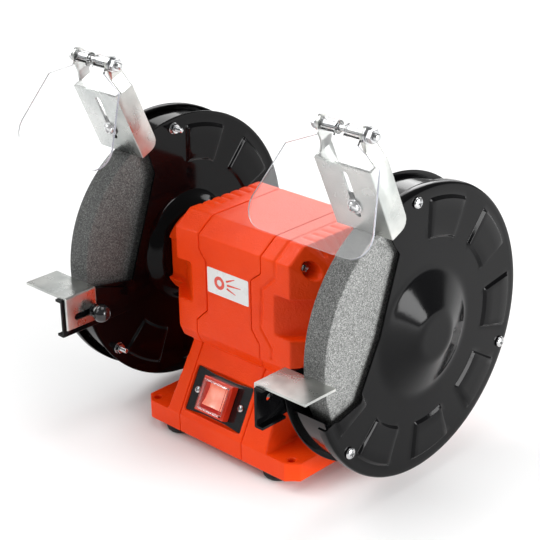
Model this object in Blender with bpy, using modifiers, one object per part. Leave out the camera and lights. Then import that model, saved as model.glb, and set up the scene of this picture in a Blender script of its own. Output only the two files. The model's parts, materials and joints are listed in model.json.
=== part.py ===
"""Bench grinder: a motor in a cast housing, with a guarded abrasive wheel at each end of its shaft.

Metres, +Z up. +X runs along the shaft to the right-hand wheel and +Y to the back. The origin is the
middle of the base's underside. Every piece is modelled about the shaft's middle, and the empty
"grinder" carries all of them up to the shaft's height. Each moving piece has its origin on its
joint's axis. Side +1 is the right wheel, side -1 the left one.
"""
from math import atan2, cos, degrees, pi, radians, sin, sqrt

import bmesh
import bpy
from mathutils import Matrix, Vector

GAP = 0.0003                 # clearance left between pieces that touch
OVERSHOOT = 0.002            # how far a cutter runs past what it cuts

# Wheels and shaft
SHAFT_HEIGHT = 0.119         # shaft axis above the base's underside
WHEEL_RADIUS = 0.100
WHEEL_WIDTH = 0.020
SPINDLE_RADIUS = 0.0077      # where the wheels sit
JOURNAL_RADIUS = 0.0082      # in the bearings
CORE_SHAFT_RADIUS = 0.010    # under the rotor
FLANGE_RADIUS = 0.033
FLANGE_THICKNESS = 0.0055
NUT_FLATS = 0.024
NUT_THICKNESS = 0.008
THREAD_STANDOUT = 0.0018     # thread showing past the wheel nut

# Guards
SHEET = 0.0015               # steel sheet
GUARD_RADIUS = WHEEL_RADIUS + 0.012
BAND_RADIUS = WHEEL_RADIUS + 0.008
INNER_SIDE_SPACE = 0.0089    # wheel face to the inner cover
OUTER_SIDE_SPACE = 0.0043    # wheel face to the outer cover
RIM_DEPTH = 0.008            # the outer cover's turned rim
RIM_BEND = 0.0025
OUTER_DOME_RADIUS = 0.050
OUTER_DOME_TOP = 0.017
OUTER_DOME_RISE = 0.012
INNER_DOME_RADIUS = 0.045
INNER_DOME_RISE = 0.010
SHAFT_OPENING = 0.016        # radius of the inner cover's hole
PAD_RISE = 0.002             # pressed pads stand out of the sheet
PAD_WIDTH = 22.5             # degrees
PAD_PITCH = 40.0
PAD_FIRST = 76.0
PAD_INNER = WHEEL_RADIUS - 0.0265
PAD_OUTER = WHEEL_RADIUS
GUARD_BOLT_ANGLES = (96.0, -24.0, -141.0)
GUARD_BOLT_CIRCLE = WHEEL_RADIUS + 0.0038
GUARD_BOLT_RADIUS = 0.0022
GUARD_BOLT_HEAD = 0.0030
GUARD_BOLT_NUT = 0.0038
GUARD_BOLT_TAIL = 0.006      # thread past the nut
BAND_FOOT = -161.2           # angle of the band's lower end, in degrees
# Mouths of the covers, as fractions of the guard's radius from the shaft, top to bottom
OUTER_MOUTH = ((-0.53, 1.07), (-0.316, 0.72), (-0.254, 0.626), (-0.434, 0.110), (-0.631, -0.259),
               (-0.911, -0.328), (-1.07, -0.44))
INNER_MOUTH = ((-0.40, 1.07), (-0.333, 0.777), (-0.286, 0.632), (-0.548, -0.104))
INNER_LIP = (-0.886, -1.07)  # its lower edge runs level under the tool rest
LIP_CLEAR = 0.0007

# Housing
BODY_DEPTH = 0.054           # half depth of the motor's body
BODY_TOP = 0.056
TOP_CHAMFER = (0.016, 0.011)
WAIST_TOP = -0.040           # where the front face starts to lean in to the neck
WAIST = (0.050, -0.049)
BODY_BELLY = 0.040           # half depth of the flat underside
BELL_END = 0.078             # from the middle of the shaft
BELL_SHOULDER = BELL_END - 0.018
BELL_TAPER = 0.685           # size of the bell's end next to its shoulder
SNOUT_RADIUS = 0.036
SNOUT_LENGTH = 0.0173
NECK_TOP = (0.048, -0.050)   # half depth and height of the neck's upper end
NECK_HALF_TOP = 0.050
NECK_HALF_FOOT = 0.054
BASE_HALF = (0.083, 0.0765)
BASE_THICKNESS = 0.0155
BASE_CORNER = (0.009, 0.008)
PAD_HOLE = (0.074, 0.0685)
PAD_HOLE_RADIUS = 0.0034
KERF = 0.0004                # between the three castings
LEFT_SPLIT = ((-0.035, 0.033), (-0.028, 0.024), (-0.028, -0.0175), (-0.040, -0.0285))
RIGHT_SPLIT = ((0.031, 0.031), (0.020, 0.0227), (0.020, -0.0174), (0.0285, -0.0284))
NOTCH_LOW = -0.015
NOTCH_HIGH = 0.018
NOTCH_START = BELL_SHOULDER - 0.016   # where the notch leaves the front face
NOTCH_END = (BELL_END, 0.028)
COUNTERBORES = ((0.040, 0.040), (0.040, -0.036))
COUNTERBORE_RADIUS = 0.0065
RIB_PITCH = 0.010
RIB_COUNT = 6
RIB_DEPTH = 0.0015
RIB_START = BELL_SHOULDER - 0.013
STATOR_RADIUS = 0.0477
SLEEVE = STATOR_RADIUS - 0.0167          # where the windings pass through the laminations
BELL_BORES = ((BELL_SHOULDER - 0.024, STATOR_RADIUS + GAP), (BELL_SHOULDER - 0.010, STATOR_RADIUS - 0.0077),
              (BELL_END - 0.006, SLEEVE))    # reach and radius of each step of the bore
END_TURNS = BELL_BORES[0][0] - 0.002     # reach of the windings
STACK = END_TURNS - 0.012    # half length of the laminations
COIL_OUTER = STATOR_RADIUS - 0.0037
COIL_RADIUS = SLEEVE - 0.0034
ROTOR_RADIUS = COIL_RADIUS - 0.0006
FAN_TIP = BELL_BORES[1][1] - 0.004
CAVITY_HALF = 0.036
CAVITY_TOP = (0.038, -0.042)
CAVITY_FOOT = 0.056
PLATE_HALF = (0.0404, 0.0596)
BEARING_RADIUS = 0.0197
BEARING_WIDTH = 0.012
BEARING_SETBACK = 0.0038     # from the snout's end
SHAFT_HOLE = 0.011
CORE_REACH = STACK + 0.004   # end of the rotor's core
FAN_BLADES = 9
FAN_HUB = 0.016
BLADE_ROOT = 6.0             # half angles of a blade, in degrees
BLADE_TIP = 1.6
CAPACITOR_RADIUS = 0.015
CAPACITOR_HALF = CAVITY_HALF - 0.006

# Switch
SWITCH_X = -0.007
SWITCH_RISE = 0.0238         # up the neck's slope from its foot
POCKET = (0.061, 0.037, 0.0035)
BEZEL = (0.031, 0.028, 0.0055)
SWITCH_BODY = (0.026, 0.0245, 0.022)
ROCKER_WELL = (0.0212, 0.0208, 0.009)
ROCKER = (0.0206, 0.0182)
ROCKER_TILT = 12.0
SWITCH_SCREW_X = 0.0235
SWITCH_SCREW_RADIUS = 0.0015
SWITCH_SCREW_HOLE = 0.0018   # radius
SWITCH_SCREW_LENGTH = 0.0135
PLATE_DIP = 0.0018           # the plate is narrower at its middle
PLATE_WAIST = 0.012
COVER_HEIGHT = 0.0030
COVER_WALL = 0.0011

# Cable gland in the neck's back
GLAND_PLACE = (-0.020, 0.030)  # across, and up the slope
GLAND_RADIUS = 0.008
GLAND_BORE = 0.0035
GLAND_REACH = 0.016
GLAND_COLLAR = GLAND_RADIUS + 0.0035

# Feet
FOOT_PLACE = (0.054, 0.062)
FOOT_RADIUS = 0.0125
FOOT_HEIGHT = 0.008
FOOT_STEM = 0.004
FOOT_STEM_TOP = 0.0065

# Spark arrestor bracket and eye shield
BRACKET_ANGLE = 118.34       # where its lower edge meets the wheel
BRACKET_CLEAR = 0.0011
BRACKET_LEAN = 23.46
BRACKET_LENGTH = 0.059
BRACKET_WIDTH = 0.050
BRACKET_DEPTH = 0.018
BRACKET_SHEET = 0.002
ARRESTOR_BOLT_FROM_TOP = 0.0355
ARRESTOR_BOLT_RADIUS = 0.0024
ARRESTOR_BOLT_HEAD = 0.0032
ARRESTOR_BOLT_NUT = 0.004
ARRESTOR_BOLT_TAIL = 0.003
ARRESTOR_WASHER = 0.0012
BOLT_HEAD_RADIUS = 0.0045    # guard and arrestor bolts alike
BOLT_NUT_FLATS = 0.0080
FLANGE_CORNER = 0.008
SLOT_PLAY = 0.00035
SLOT_LENGTH = 0.0405
SLOT_WIDTH = 2 * (ARRESTOR_BOLT_RADIUS + SLOT_PLAY)
SLOT_FROM_TOP = 0.0055
TAB_WIDTH = 0.028
TAB_ABOVE_BOLT = 0.008
EAR_INSIDE = 0.018           # half the clear width between the ears
EAR_WIDTH = 0.012
EAR_SLANT = 0.011
HINGE_BACK = 0.0118          # hinge rod behind the bracket's face
HINGE_UP = 0.0224            # and above its top edge
HINGE_RADIUS = 0.0026
HINGE_WASHER = 0.0014
HINGE_WASHER_RADIUS = 0.0058
HINGE_HEAD_RADIUS = 0.005
HINGE_HEAD = 0.0042
HINGE_NUT = 0.005
HINGE_NUT_FLATS = 0.0092
HINGE_NUT_WASHER = 0.0062    # radius
HINGE_TAIL = 0.0025
BARREL_RADIUS = 0.0048
BARREL_HALF = 0.0175
BARREL_SPLIT = 0.004
SHIELD_LEAN = 29.5
SHIELD_OFFSET = 0.0028
SHIELD_SHEET = 0.002
SHIELD_NECK = (0.018, 0.009)
SHIELD_SHOULDER = (0.041, 0.020)
SHIELD_FOOT = (0.054, 0.0805)
SHIELD_CORNER = 0.016

# Tool rest
REST_GAP = 0.0035            # plate to wheel
REST_TOP = -0.0025
REST_LENGTH = 0.0305
REST_SHEET = 0.002
REST_FLANGE_DROP = 0.0275
REST_REACH = 0.048           # across the wheel
KNOB_SHANK = 0.0024
KNOB_RADIUS = 0.0073
KNOB_LENGTH = 0.0165          # collar and ball
KNOB_COLLAR = 0.0052
KNOB_Y = -(WHEEL_RADIUS + 0.007)
KNOB_Z = -0.021
REST_SLOT = 0.022
REST_SLOT_WIDTH = 2 * (KNOB_SHANK + SLOT_PLAY)
ARM_SHEET = 0.002
ARM_FRONT = WHEEL_RADIUS + 0.036
ARM_BACK = WHEEL_RADIUS - 0.030
ARM_LIP = 0.0075
ARM_FOOT = -0.036
ARM_HOLE = (-(WHEEL_RADIUS + 0.023), -0.017)
ARM_HOLE_RADIUS = 0.0030

# Worked out from the above, from the middle of the shaft outwards
SNOUT_END = BELL_END + SNOUT_LENGTH
BEARING_SPAN = (SNOUT_END - BEARING_SETBACK - BEARING_WIDTH, SNOUT_END - BEARING_SETBACK)
COVER_IN = SNOUT_END + GAP + INNER_DOME_RISE          # motor side face of the inner cover
WHEEL_INNER = COVER_IN + SHEET + INNER_SIDE_SPACE
WHEEL_OUTER = WHEEL_INNER + WHEEL_WIDTH
WHEEL_CENTRE = (WHEEL_INNER + WHEEL_OUTER) / 2
COVER_OUT = WHEEL_OUTER + OUTER_SIDE_SPACE + SHEET    # outside face of the outer cover
BASE_Z = -SHAFT_HEIGHT
BASE_TOP = BASE_Z + BASE_THICKNESS
ARM_IN = COVER_IN - GAP - ARM_SHEET                   # motor side face of the rest's arm
FLANGE_IN = ARM_IN - GAP - REST_SHEET                 # motor side face of the rest's flange
LEAN = radians(BRACKET_LEAN)

COLOURS = {
    "painted_housing": ((0.80, 0.075, 0.012), 0.42, 0.0),
    "black_sheet": ((0.012, 0.012, 0.013), 0.28, 0.0),
    "zinc": ((0.62, 0.63, 0.62), 0.32, 1.0),
    "steel": ((0.50, 0.50, 0.50), 0.30, 1.0),
    "abrasive": ((0.42, 0.43, 0.42), 0.95, 0.0),
    "rubber": ((0.015, 0.015, 0.015), 0.80, 0.0),
    "black_plastic": ((0.014, 0.014, 0.015), 0.35, 0.0),
    "red_plastic": ((0.75, 0.03, 0.01), 0.30, 0.0),
    "clear_plastic": ((0.95, 0.97, 0.98), 0.05, 0.0),
    "copper": ((0.72, 0.30, 0.12), 0.35, 1.0),
    "laminations": ((0.28, 0.28, 0.29), 0.50, 1.0),
    "can": ((0.60, 0.60, 0.62), 0.35, 1.0),
    "white_plastic": ((0.80, 0.80, 0.78), 0.40, 0.0),
}
SMOOTH_ANGLE = radians(35)
ROUND_STEPS = 40
CASTING_STEPS = 28
SMALL_STEPS = 10
MERGE = 0.00002


def clear_scene():
    for old in list(bpy.data.objects):
        bpy.data.objects.remove(old, do_unlink=True)


clear_scene()
PARTS = bpy.data.collections.new("bench_grinder")
CUTTERS = bpy.data.collections.new("cutters")
bpy.context.scene.collection.children.link(PARTS)
bpy.context.scene.collection.children.link(CUTTERS)
GRINDER = bpy.data.objects.new("grinder", None)
GRINDER.location = (0, 0, SHAFT_HEIGHT)
PARTS.objects.link(GRINDER)


# ---------------------------------------------------------------- helpers

def material(name):
    found = bpy.data.materials.get(name)
    if found:
        return found
    colour, roughness, metallic = COLOURS[name]
    made = bpy.data.materials.new(name)
    made.use_nodes = True
    shader = made.node_tree.nodes["Principled BSDF"]
    shader.inputs["Base Color"].default_value = (*colour, 1)
    shader.inputs["Roughness"].default_value = roughness
    shader.inputs["Metallic"].default_value = metallic
    made.diffuse_color = (*colour, 1)
    return made


def polar(radius, angle):
    """A point (y, z) about the shaft, its angle in degrees from +Y towards +Z."""
    return (radius * cos(radians(angle)), radius * sin(radians(angle)))


def arc(radius, start, end, steps, centre=(0.0, 0.0)):
    """Points of an arc, angles in degrees."""
    points = []
    for step in range(steps + 1):
        angle = radians(start + (end - start) * step / steps)
        points.append((centre[0] + radius * cos(angle), centre[1] + radius * sin(angle)))
    return points


def new_object(name, mesh):
    made = bpy.data.objects.new(name, mesh)
    PARTS.objects.link(made)
    made.parent = GRINDER
    return made


def from_bmesh(name, shape):
    mesh = bpy.data.meshes.new(name)
    shape.to_mesh(mesh)
    shape.free()
    return new_object(name, mesh)


def evaluated_mesh(thing):
    graph = bpy.context.evaluated_depsgraph_get()
    return bpy.data.meshes.new_from_object(thing.evaluated_get(graph))


def baked(thing):
    """Applies the modifiers, keeping the object."""
    mesh = evaluated_mesh(thing)
    thing.modifiers.clear()
    thing.data = mesh
    return thing


FACING = {
    "X": Matrix(((0, 0, 1), (1, 0, 0), (0, 1, 0))).to_4x4(),
    "Y": Matrix(((1, 0, 0), (0, 0, -1), (0, 1, 0))).to_4x4(),
    "Z": Matrix.Identity(4),
}


def prism(name, outline, axis, low, high):
    """A flat outline given thickness along an axis. Its points are (y, z), (x, z) or (x, y)."""
    curve = bpy.data.curves.new(name, "CURVE")
    curve.dimensions = "2D"
    curve.fill_mode = "BOTH"
    curve.extrude = (high - low) / 2
    spline = curve.splines.new("POLY")
    spline.points.add(len(outline) - 1)
    for place, point in zip(spline.points, outline):
        place.co = (point[0], point[1], 0, 1)
    spline.use_cyclic_u = True
    drawn = bpy.data.objects.new(name, curve)
    PARTS.objects.link(drawn)
    mesh = evaluated_mesh(drawn)
    bpy.data.objects.remove(drawn, do_unlink=True)
    middle = (low + high) / 2
    if axis == "Y":
        middle = -middle
    shape = bmesh.new()
    shape.from_mesh(mesh)
    bmesh.ops.remove_doubles(shape, verts=shape.verts, dist=MERGE)
    bmesh.ops.transform(shape, verts=shape.verts, matrix=FACING[axis] @ Matrix.Translation((0, 0, middle)))
    bmesh.ops.recalc_face_normals(shape, faces=shape.faces)
    return from_bmesh(name, shape)


def box(name, low, high):
    shape = bmesh.new()
    bmesh.ops.create_cube(shape, size=1)
    size = [b - a for a, b in zip(low, high)]
    middle = [(a + b) / 2 for a, b in zip(low, high)]
    place = Matrix.Translation(middle) @ Matrix.Diagonal((*size, 1))
    bmesh.ops.transform(shape, verts=shape.verts, matrix=place)
    return from_bmesh(name, shape)


def hull(name, points):
    """The solid that a tight skin round the points encloses."""
    shape = bmesh.new()
    for point in points:
        shape.verts.new(point)
    bmesh.ops.convex_hull(shape, input=shape.verts)
    bmesh.ops.dissolve_limit(shape, angle_limit=radians(1), verts=shape.verts, edges=shape.edges)
    bmesh.ops.recalc_face_normals(shape, faces=shape.faces)
    return from_bmesh(name, shape)


def rod(name, start, end, radius, steps=SMALL_STEPS):
    """A cylinder between two points."""
    start = Vector(start)
    run = Vector(end) - start
    turn = run.to_track_quat("Z", "Y").to_matrix().to_4x4()
    shape = bmesh.new()
    bmesh.ops.create_cone(shape, cap_ends=True, segments=steps, radius1=radius, radius2=radius,
                          depth=run.length)
    bmesh.ops.transform(shape, verts=shape.verts, matrix=Matrix.Translation(start + run / 2) @ turn)
    return from_bmesh(name, shape)


def along(side):
    """Turns local +Z to point outwards along the shaft on that side."""
    return Matrix.Rotation(side * pi / 2, 4, "Y")


def turned(name, profile, place, steps=ROUND_STEPS, ring=False):
    """A profile of (radius, height) turned about local Z, its outer side listed top to bottom."""
    mesh = bpy.data.meshes.new(name)
    points = [(radius, 0, height) for radius, height in profile]
    edges = [(i, i + 1) for i in range(len(points) - 1)]
    if ring:
        edges.append((len(points) - 1, 0))
    mesh.from_pydata(points, edges, [])
    made = new_object(name, mesh)
    screw = made.modifiers.new("Turn", "SCREW")
    screw.steps = steps
    screw.render_steps = steps
    screw.use_merge_vertices = True
    screw.merge_threshold = MERGE
    screw.use_smooth_shade = False
    made.matrix_basis = place
    return made


def as_cutter(thing):
    PARTS.objects.unlink(thing)
    CUTTERS.objects.link(thing)
    thing.hide_render = True
    thing.display_type = "WIRE"


def combine(target, other, operation):
    change = target.modifiers.new(operation.title(), "BOOLEAN")
    change.operation = operation
    change.solver = "EXACT"
    change.object = other
    if other.name not in CUTTERS.objects:
        as_cutter(other)
    return target


def cut(target, *others):
    for other in others:
        combine(target, other, "DIFFERENCE")
    return target


def join(target, *others):
    for other in others:
        combine(target, other, "UNION")
    return target


def placed(thing, matrix):
    """Moves a shape's own mesh by a matrix about the shaft's middle."""
    thing.data.transform(matrix)
    return thing


def finish(thing, colour, pivot=None):
    """Applies the cuts, moves the origin to the joint's axis and gives the piece its material."""
    mesh = evaluated_mesh(thing)
    thing.modifiers.clear()
    origin = Vector(pivot) if pivot is not None else Vector()
    mesh.transform(Matrix.Translation(-origin) @ thing.matrix_basis)
    thing.data = mesh
    thing.matrix_basis = Matrix.Translation(origin)
    mesh.name = thing.name
    mesh.materials.clear()
    mesh.materials.append(material(colour))
    mesh.shade_smooth()
    mesh.set_sharp_from_angle(angle=SMOOTH_ANGLE)
    return thing


def side_name(side):
    return "right" if side > 0 else "left"


def span(side, low, high):
    """An interval along the shaft on that side, in rising order."""
    return (side * low, side * high) if side > 0 else (side * high, side * low)


# ---------------------------------------------------------------- housing

def body_section(x, scale):
    corner_y = BODY_DEPTH - TOP_CHAMFER[0]
    corner_z = BODY_TOP - TOP_CHAMFER[1]
    half = ((corner_y, BODY_TOP), (BODY_DEPTH, corner_z), (BODY_DEPTH, WAIST_TOP), WAIST,
            (BODY_BELLY, -BODY_TOP))
    return [(x, sign * y * scale, z * scale) for y, z in half for sign in (1, -1)]


def slope_direction():
    """Unit vectors up the neck's front slope and out of it, as (y, z)."""
    run = BASE_HALF[1] - NECK_TOP[0]
    rise = NECK_TOP[1] - BASE_TOP
    length = sqrt(run * run + rise * rise)
    return (run / length, rise / length), (-rise / length, run / length)


def slope_frame(x, rise, front=True):
    """Local X across, Y up the neck's slope and Z out of it, on the front or the back."""
    up, _ = slope_direction()
    tilt = atan2(up[1], up[0])
    place = Matrix.Translation((x, -BASE_HALF[1] + up[0] * rise, BASE_TOP + up[1] * rise))
    frame = place @ Matrix.Rotation(tilt, 4, "X")
    if front:
        return frame
    return Matrix.Rotation(pi, 4, "Z") @ frame


SWITCH_FRAME = slope_frame(SWITCH_X, SWITCH_RISE)


def block(name, size, low, high, frame):
    """A box of a given width and height, from one depth to another in a local frame."""
    made = box(name, (-size[0] / 2, -size[1] / 2, low), (size[0] / 2, size[1] / 2, high))
    return placed(made, frame)


def housing_form():
    body_points = []
    for side in (1, -1):
        body_points += body_section(side * BELL_SHOULDER, 1.0)
        body_points += body_section(side * BELL_END, BELL_TAPER)
    form = hull("housing_form", body_points)
    up, _ = slope_direction()
    lap = 0.006              # of the neck into the body
    lap_depth = NECK_TOP[0] - lap * up[0] / up[1]
    neck_points = []
    for sx in (1, -1):
        for sy in (1, -1):
            neck_points.append((sx * NECK_HALF_TOP, sy * lap_depth, NECK_TOP[1] + lap))
            neck_points.append((sx * NECK_HALF_FOOT, sy * BASE_HALF[1], BASE_TOP))
            neck_points.append((sx * NECK_HALF_FOOT, sy * BASE_HALF[1], BASE_Z))
    neck = hull("neck", neck_points)
    half_x, half_y = BASE_HALF
    cut_x, cut_y = BASE_CORNER
    base_outline = [(half_x, half_y - cut_y), (half_x - cut_x, half_y), (cut_x - half_x, half_y),
                    (-half_x, half_y - cut_y), (-half_x, cut_y - half_y), (cut_x - half_x, -half_y),
                    (half_x - cut_x, -half_y), (half_x, cut_y - half_y)]
    base = prism("base", base_outline, "Z", BASE_Z, BASE_TOP)
    snout = rod("snout", (-SNOUT_END, 0, 0), (SNOUT_END, 0, 0), SNOUT_RADIUS, CASTING_STEPS)
    join(form, neck, base, snout)
    cut(form, *housing_hollows())
    cut(form, *bell_details())
    return baked(form)


def housing_hollows():
    """The bore for the stator and bearings, the neck's cavity, the switch's seat and the holes."""
    cutters = []
    for reach, radius in BELL_BORES:
        cutters.append(rod("bore", (-reach, 0, 0), (reach, 0, 0), radius, CASTING_STEPS))
    seat = BEARING_SPAN[1] + GAP
    cutters.append(rod("bearing_seat", (-seat, 0, 0), (seat, 0, 0), BEARING_RADIUS + GAP, 20))
    out = SNOUT_END + OVERSHOOT
    cutters.append(rod("shaft_hole", (-out, 0, 0), (out, 0, 0), SHAFT_HOLE, 16))
    cavity = []
    for sx in (1, -1):
        for sy in (1, -1):
            cavity.append((sx * CAVITY_HALF, sy * CAVITY_TOP[0], CAVITY_TOP[1]))
            cavity.append((sx * CAVITY_HALF, sy * CAVITY_FOOT, BASE_Z - OVERSHOOT))
    cutters.append(hull("cavity", cavity))
    edge_x = PLATE_HALF[0] + GAP
    edge_y = PLATE_HALF[1] + GAP
    cutters.append(box("rebate", (-edge_x, -edge_y, BASE_Z - OVERSHOOT),
                       (edge_x, edge_y, BASE_Z + SHEET + GAP)))
    cutters.append(block("switch_pocket", POCKET, -POCKET[2], 0.01, SWITCH_FRAME))
    hole = (SWITCH_BODY[0] + 4 * GAP, SWITCH_BODY[1] + 4 * GAP)
    cutters.append(block("switch_hole", hole, -0.040, 0.0, SWITCH_FRAME))
    stem_end = BASE_Z + FOOT_STEM_TOP + 0.0008
    for sx in (1, -1):
        screw = SWITCH_FRAME @ Matrix.Translation((sx * SWITCH_SCREW_X, 0, 0))
        depth = SWITCH_SCREW_LENGTH + 0.0005
        cutters.append(rod("screw_hole", screw @ Vector((0, 0, -depth)), screw @ Vector(),
                           SWITCH_SCREW_HOLE, 8))
        for sy in (1, -1):
            x, y = sx * PAD_HOLE[0], sy * PAD_HOLE[1]
            cutters.append(rod("pad_hole", (x, y, BASE_Z - OVERSHOOT), (x, y, BASE_TOP + OVERSHOOT),
                               PAD_HOLE_RADIUS, 12))
            x, y = sx * FOOT_PLACE[0], sy * FOOT_PLACE[1]
            cutters.append(rod("stem_hole", (x, y, BASE_Z - OVERSHOOT), (x, y, stem_end),
                               FOOT_STEM + GAP * 2, 10))
    gland = slope_frame(*GLAND_PLACE, front=False)
    cutters.append(rod("gland_hole", gland @ Vector((0, 0, -0.045)), gland @ Vector((0, 0, 0.01)),
                       GLAND_RADIUS + GAP, 14))
    return cutters


def bell_details():
    """The hand notches, the bolt counterbores and the cooling grooves of both bells."""
    cutters = []
    far = BELL_END + 0.02
    outside = BODY_DEPTH + 0.02
    slope = (BODY_DEPTH - NOTCH_END[1]) / (NOTCH_END[0] - NOTCH_START)
    lead = NOTCH_START - (outside - BODY_DEPTH) / slope
    for side in (1, -1):
        low, high = NOTCH_LOW, NOTCH_HIGH
        edge = [(lead, -outside), (NOTCH_END[0], -NOTCH_END[1]), (far, -NOTCH_END[1]), (far, -outside)]
        points = [(side * x, y, z) for x, y in edge for z in (low, high)]
        cutters.append(hull("notch", points))
        for depth, z in COUNTERBORES:
            for y in (depth, -depth):
                cutters.append(rod("counterbore", (side * BELL_SHOULDER, y, z), (side * far, y, z),
                                   COUNTERBORE_RADIUS, 12))
        drop = BODY_TOP * (1 - BELL_TAPER)
        run = BELL_END - BELL_SHOULDER
        fall = atan2(drop, run)
        lift = 0.002
        half = 1.4 * (RIB_DEPTH + lift)
        for index in range(RIB_COUNT):
            y = (index - (RIB_COUNT - 1) / 2) * RIB_PITCH
            groove = [(y - half, lift), (y, -RIB_DEPTH), (y + half, lift)]
            points = []
            for gy, gz in groove:
                points.append((side * RIB_START, gy, BODY_TOP + gz))
                points.append((side * (BELL_SHOULDER + gz * sin(fall)), gy, BODY_TOP + gz * cos(fall)))
            cutters.append(hull("rib_groove", points))
            points = []
            for gy, gz in groove:
                for reach in (-0.0008, 0.014):
                    x = BELL_SHOULDER + reach * cos(fall) + gz * sin(fall)
                    points.append((side * x, gy, BODY_TOP - reach * sin(fall) + gz * cos(fall)))
            cutters.append(hull("rib_groove_end", points))
    return cutters


def split_line(points, shift):
    """The joint between two castings, from above the body to below the base."""
    top = (points[0][0] + shift, BODY_TOP + 0.02)
    bottom = (points[-1][0] + shift, BASE_Z - 0.02)
    return [top] + [(x + shift, z) for x, z in points] + [bottom]


def housings():
    form = housing_form()
    far = SNOUT_END + 0.02
    depth = BASE_HALF[1] + 0.02
    high = BODY_TOP + 0.02
    low = BASE_Z - 0.02
    half = KERF / 2
    left = split_line(LEFT_SPLIT, -half) + [(-far, low), (-far, high)]
    right = split_line(RIGHT_SPLIT, half) + [(far, low), (far, high)]
    middle = split_line(LEFT_SPLIT, half) + list(reversed(split_line(RIGHT_SPLIT, -half)))
    for name, outline in (("left_housing", left), ("centre_housing", middle), ("right_housing", right)):
        region = prism(name + "_region", outline, "Y", -depth, depth)
        casting = new_object(name, form.data.copy())
        combine(casting, region, "INTERSECT")
        finish(casting, "painted_housing")
    bpy.data.objects.remove(form, do_unlink=True)


def base_pieces():
    half_x, half_y = PLATE_HALF
    plate = box("bottom_plate", (-half_x, -half_y, BASE_Z), (half_x, half_y, BASE_Z + SHEET))
    finish(plate, "zinc")
    for sx in (-1, 1):
        for sy in (-1, 1):
            name = "foot_%s_%s" % ("front" if sy < 0 else "rear", side_name(sx))
            top = BASE_Z - GAP
            profile = [(0, BASE_Z + FOOT_STEM_TOP), (FOOT_STEM, BASE_Z + FOOT_STEM_TOP), (FOOT_STEM, top),
                       (FOOT_RADIUS, top), (FOOT_RADIUS - 0.0015, BASE_Z - FOOT_HEIGHT),
                       (0, BASE_Z - FOOT_HEIGHT)]
            place = Matrix.Translation((sx * FOOT_PLACE[0], sy * FOOT_PLACE[1], 0))
            finish(turned(name, profile, place, 16), "rubber")


# ---------------------------------------------------------------- switch and inlet

def switch():
    half_x, half_y = POCKET[0] / 2 - GAP, POCKET[1] / 2 - GAP
    waist = half_y - PLATE_DIP
    outline = [(half_x, -half_y), (half_x, half_y), (PLATE_WAIST, waist), (-PLATE_WAIST, waist),
               (-half_x, half_y), (-half_x, -half_y), (-PLATE_WAIST, -waist), (PLATE_WAIST, -waist)]
    back = -POCKET[2] + GAP
    face = back + SHEET
    plate = placed(prism("switch_plate", outline, "Z", back, face), SWITCH_FRAME)
    hole = (SWITCH_BODY[0] + 2 * GAP, SWITCH_BODY[1] + 2 * GAP)
    cut(plate, block("plate_hole", hole, back - OVERSHOOT, face + OVERSHOOT, SWITCH_FRAME))
    for sx in (1, -1):
        spot = SWITCH_FRAME @ Matrix.Translation((sx * SWITCH_SCREW_X, 0, 0))
        cut(plate, rod("plate_screw_hole", spot @ Vector((0, 0, back - OVERSHOOT)),
                       spot @ Vector((0, 0, face + OVERSHOOT)), SWITCH_SCREW_HOLE, 8))
        seat = face + GAP
        profile = [(0, seat + 0.0018), (0.0018, seat + 0.0014), (0.003, seat), (SWITCH_SCREW_RADIUS, seat),
                   (SWITCH_SCREW_RADIUS, -SWITCH_SCREW_LENGTH), (0, -SWITCH_SCREW_LENGTH)]
        finish(turned("switch_screw_" + side_name(sx), profile, spot, SMALL_STEPS), "zinc")
    finish(plate, "black_plastic")
    top = BEZEL[2]
    bezel = block("switch_bezel", BEZEL, face + GAP, top, SWITCH_FRAME)
    join(bezel, block("switch_body", SWITCH_BODY, -SWITCH_BODY[2], face + 0.001, SWITCH_FRAME))
    cut(bezel, block("rocker_well", ROCKER_WELL, -ROCKER_WELL[2], top + OVERSHOOT, SWITCH_FRAME))
    finish(bezel, "red_plastic")
    reach = ROCKER[1] / 2
    side_view = [(reach, 0.0), (reach, 0.0035), (0.004, 0.0024), (-0.004, 0.0024), (-reach, 0.0035),
                 (-reach, 0.0), (-0.003, -0.006), (0.003, -0.006)]
    pivot_depth = -0.002
    half = ROCKER[0] / 2
    rocker = prism("switch_rocker", side_view, "X", -half, half)
    tilt = Matrix.Translation((0, 0, pivot_depth)) @ Matrix.Rotation(radians(-ROCKER_TILT), 4, "X")
    placed(rocker, SWITCH_FRAME @ tilt @ Matrix.Translation((0, 0, -pivot_depth)))
    finish(rocker, "red_plastic", SWITCH_FRAME @ Vector((0, 0, pivot_depth)))
    seat = top + GAP
    hood = (BEZEL[0] - 0.005, BEZEL[1] - 0.004)
    inside = (hood[0] - 2 * COVER_WALL, hood[1] - 2 * COVER_WALL)
    crown = seat + COVER_HEIGHT
    cover = block("switch_cover", hood, seat, crown, SWITCH_FRAME)
    cut(cover, block("cover_inside", inside, seat - OVERSHOOT, crown - COVER_WALL, SWITCH_FRAME))
    finish(cover, "clear_plastic")


def inlet_and_capacitor():
    bore = GLAND_BORE
    profile = [(bore, 0.010), (bore + 0.003, 0.010), (GLAND_COLLAR, 0.003), (GLAND_COLLAR, GAP),
               (GLAND_RADIUS, GAP), (GLAND_RADIUS, -GLAND_REACH), (bore, -GLAND_REACH)]
    gland = slope_frame(*GLAND_PLACE, front=False)
    finish(turned("cable_gland", profile, gland, 14, ring=True), "black_plastic")
    radius = CAPACITOR_RADIUS
    half = CAPACITOR_HALF
    middle = BASE_Z + SHEET + GAP + radius
    profile = [(0, half), (radius, half), (radius, -half), (0, -half)]
    place = Matrix.Translation((0, CAVITY_FOOT - radius - 0.010, middle)) @ along(1)
    finish(turned("capacitor", profile, place, 16), "white_plastic")


# ---------------------------------------------------------------- motor and shaft

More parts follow.
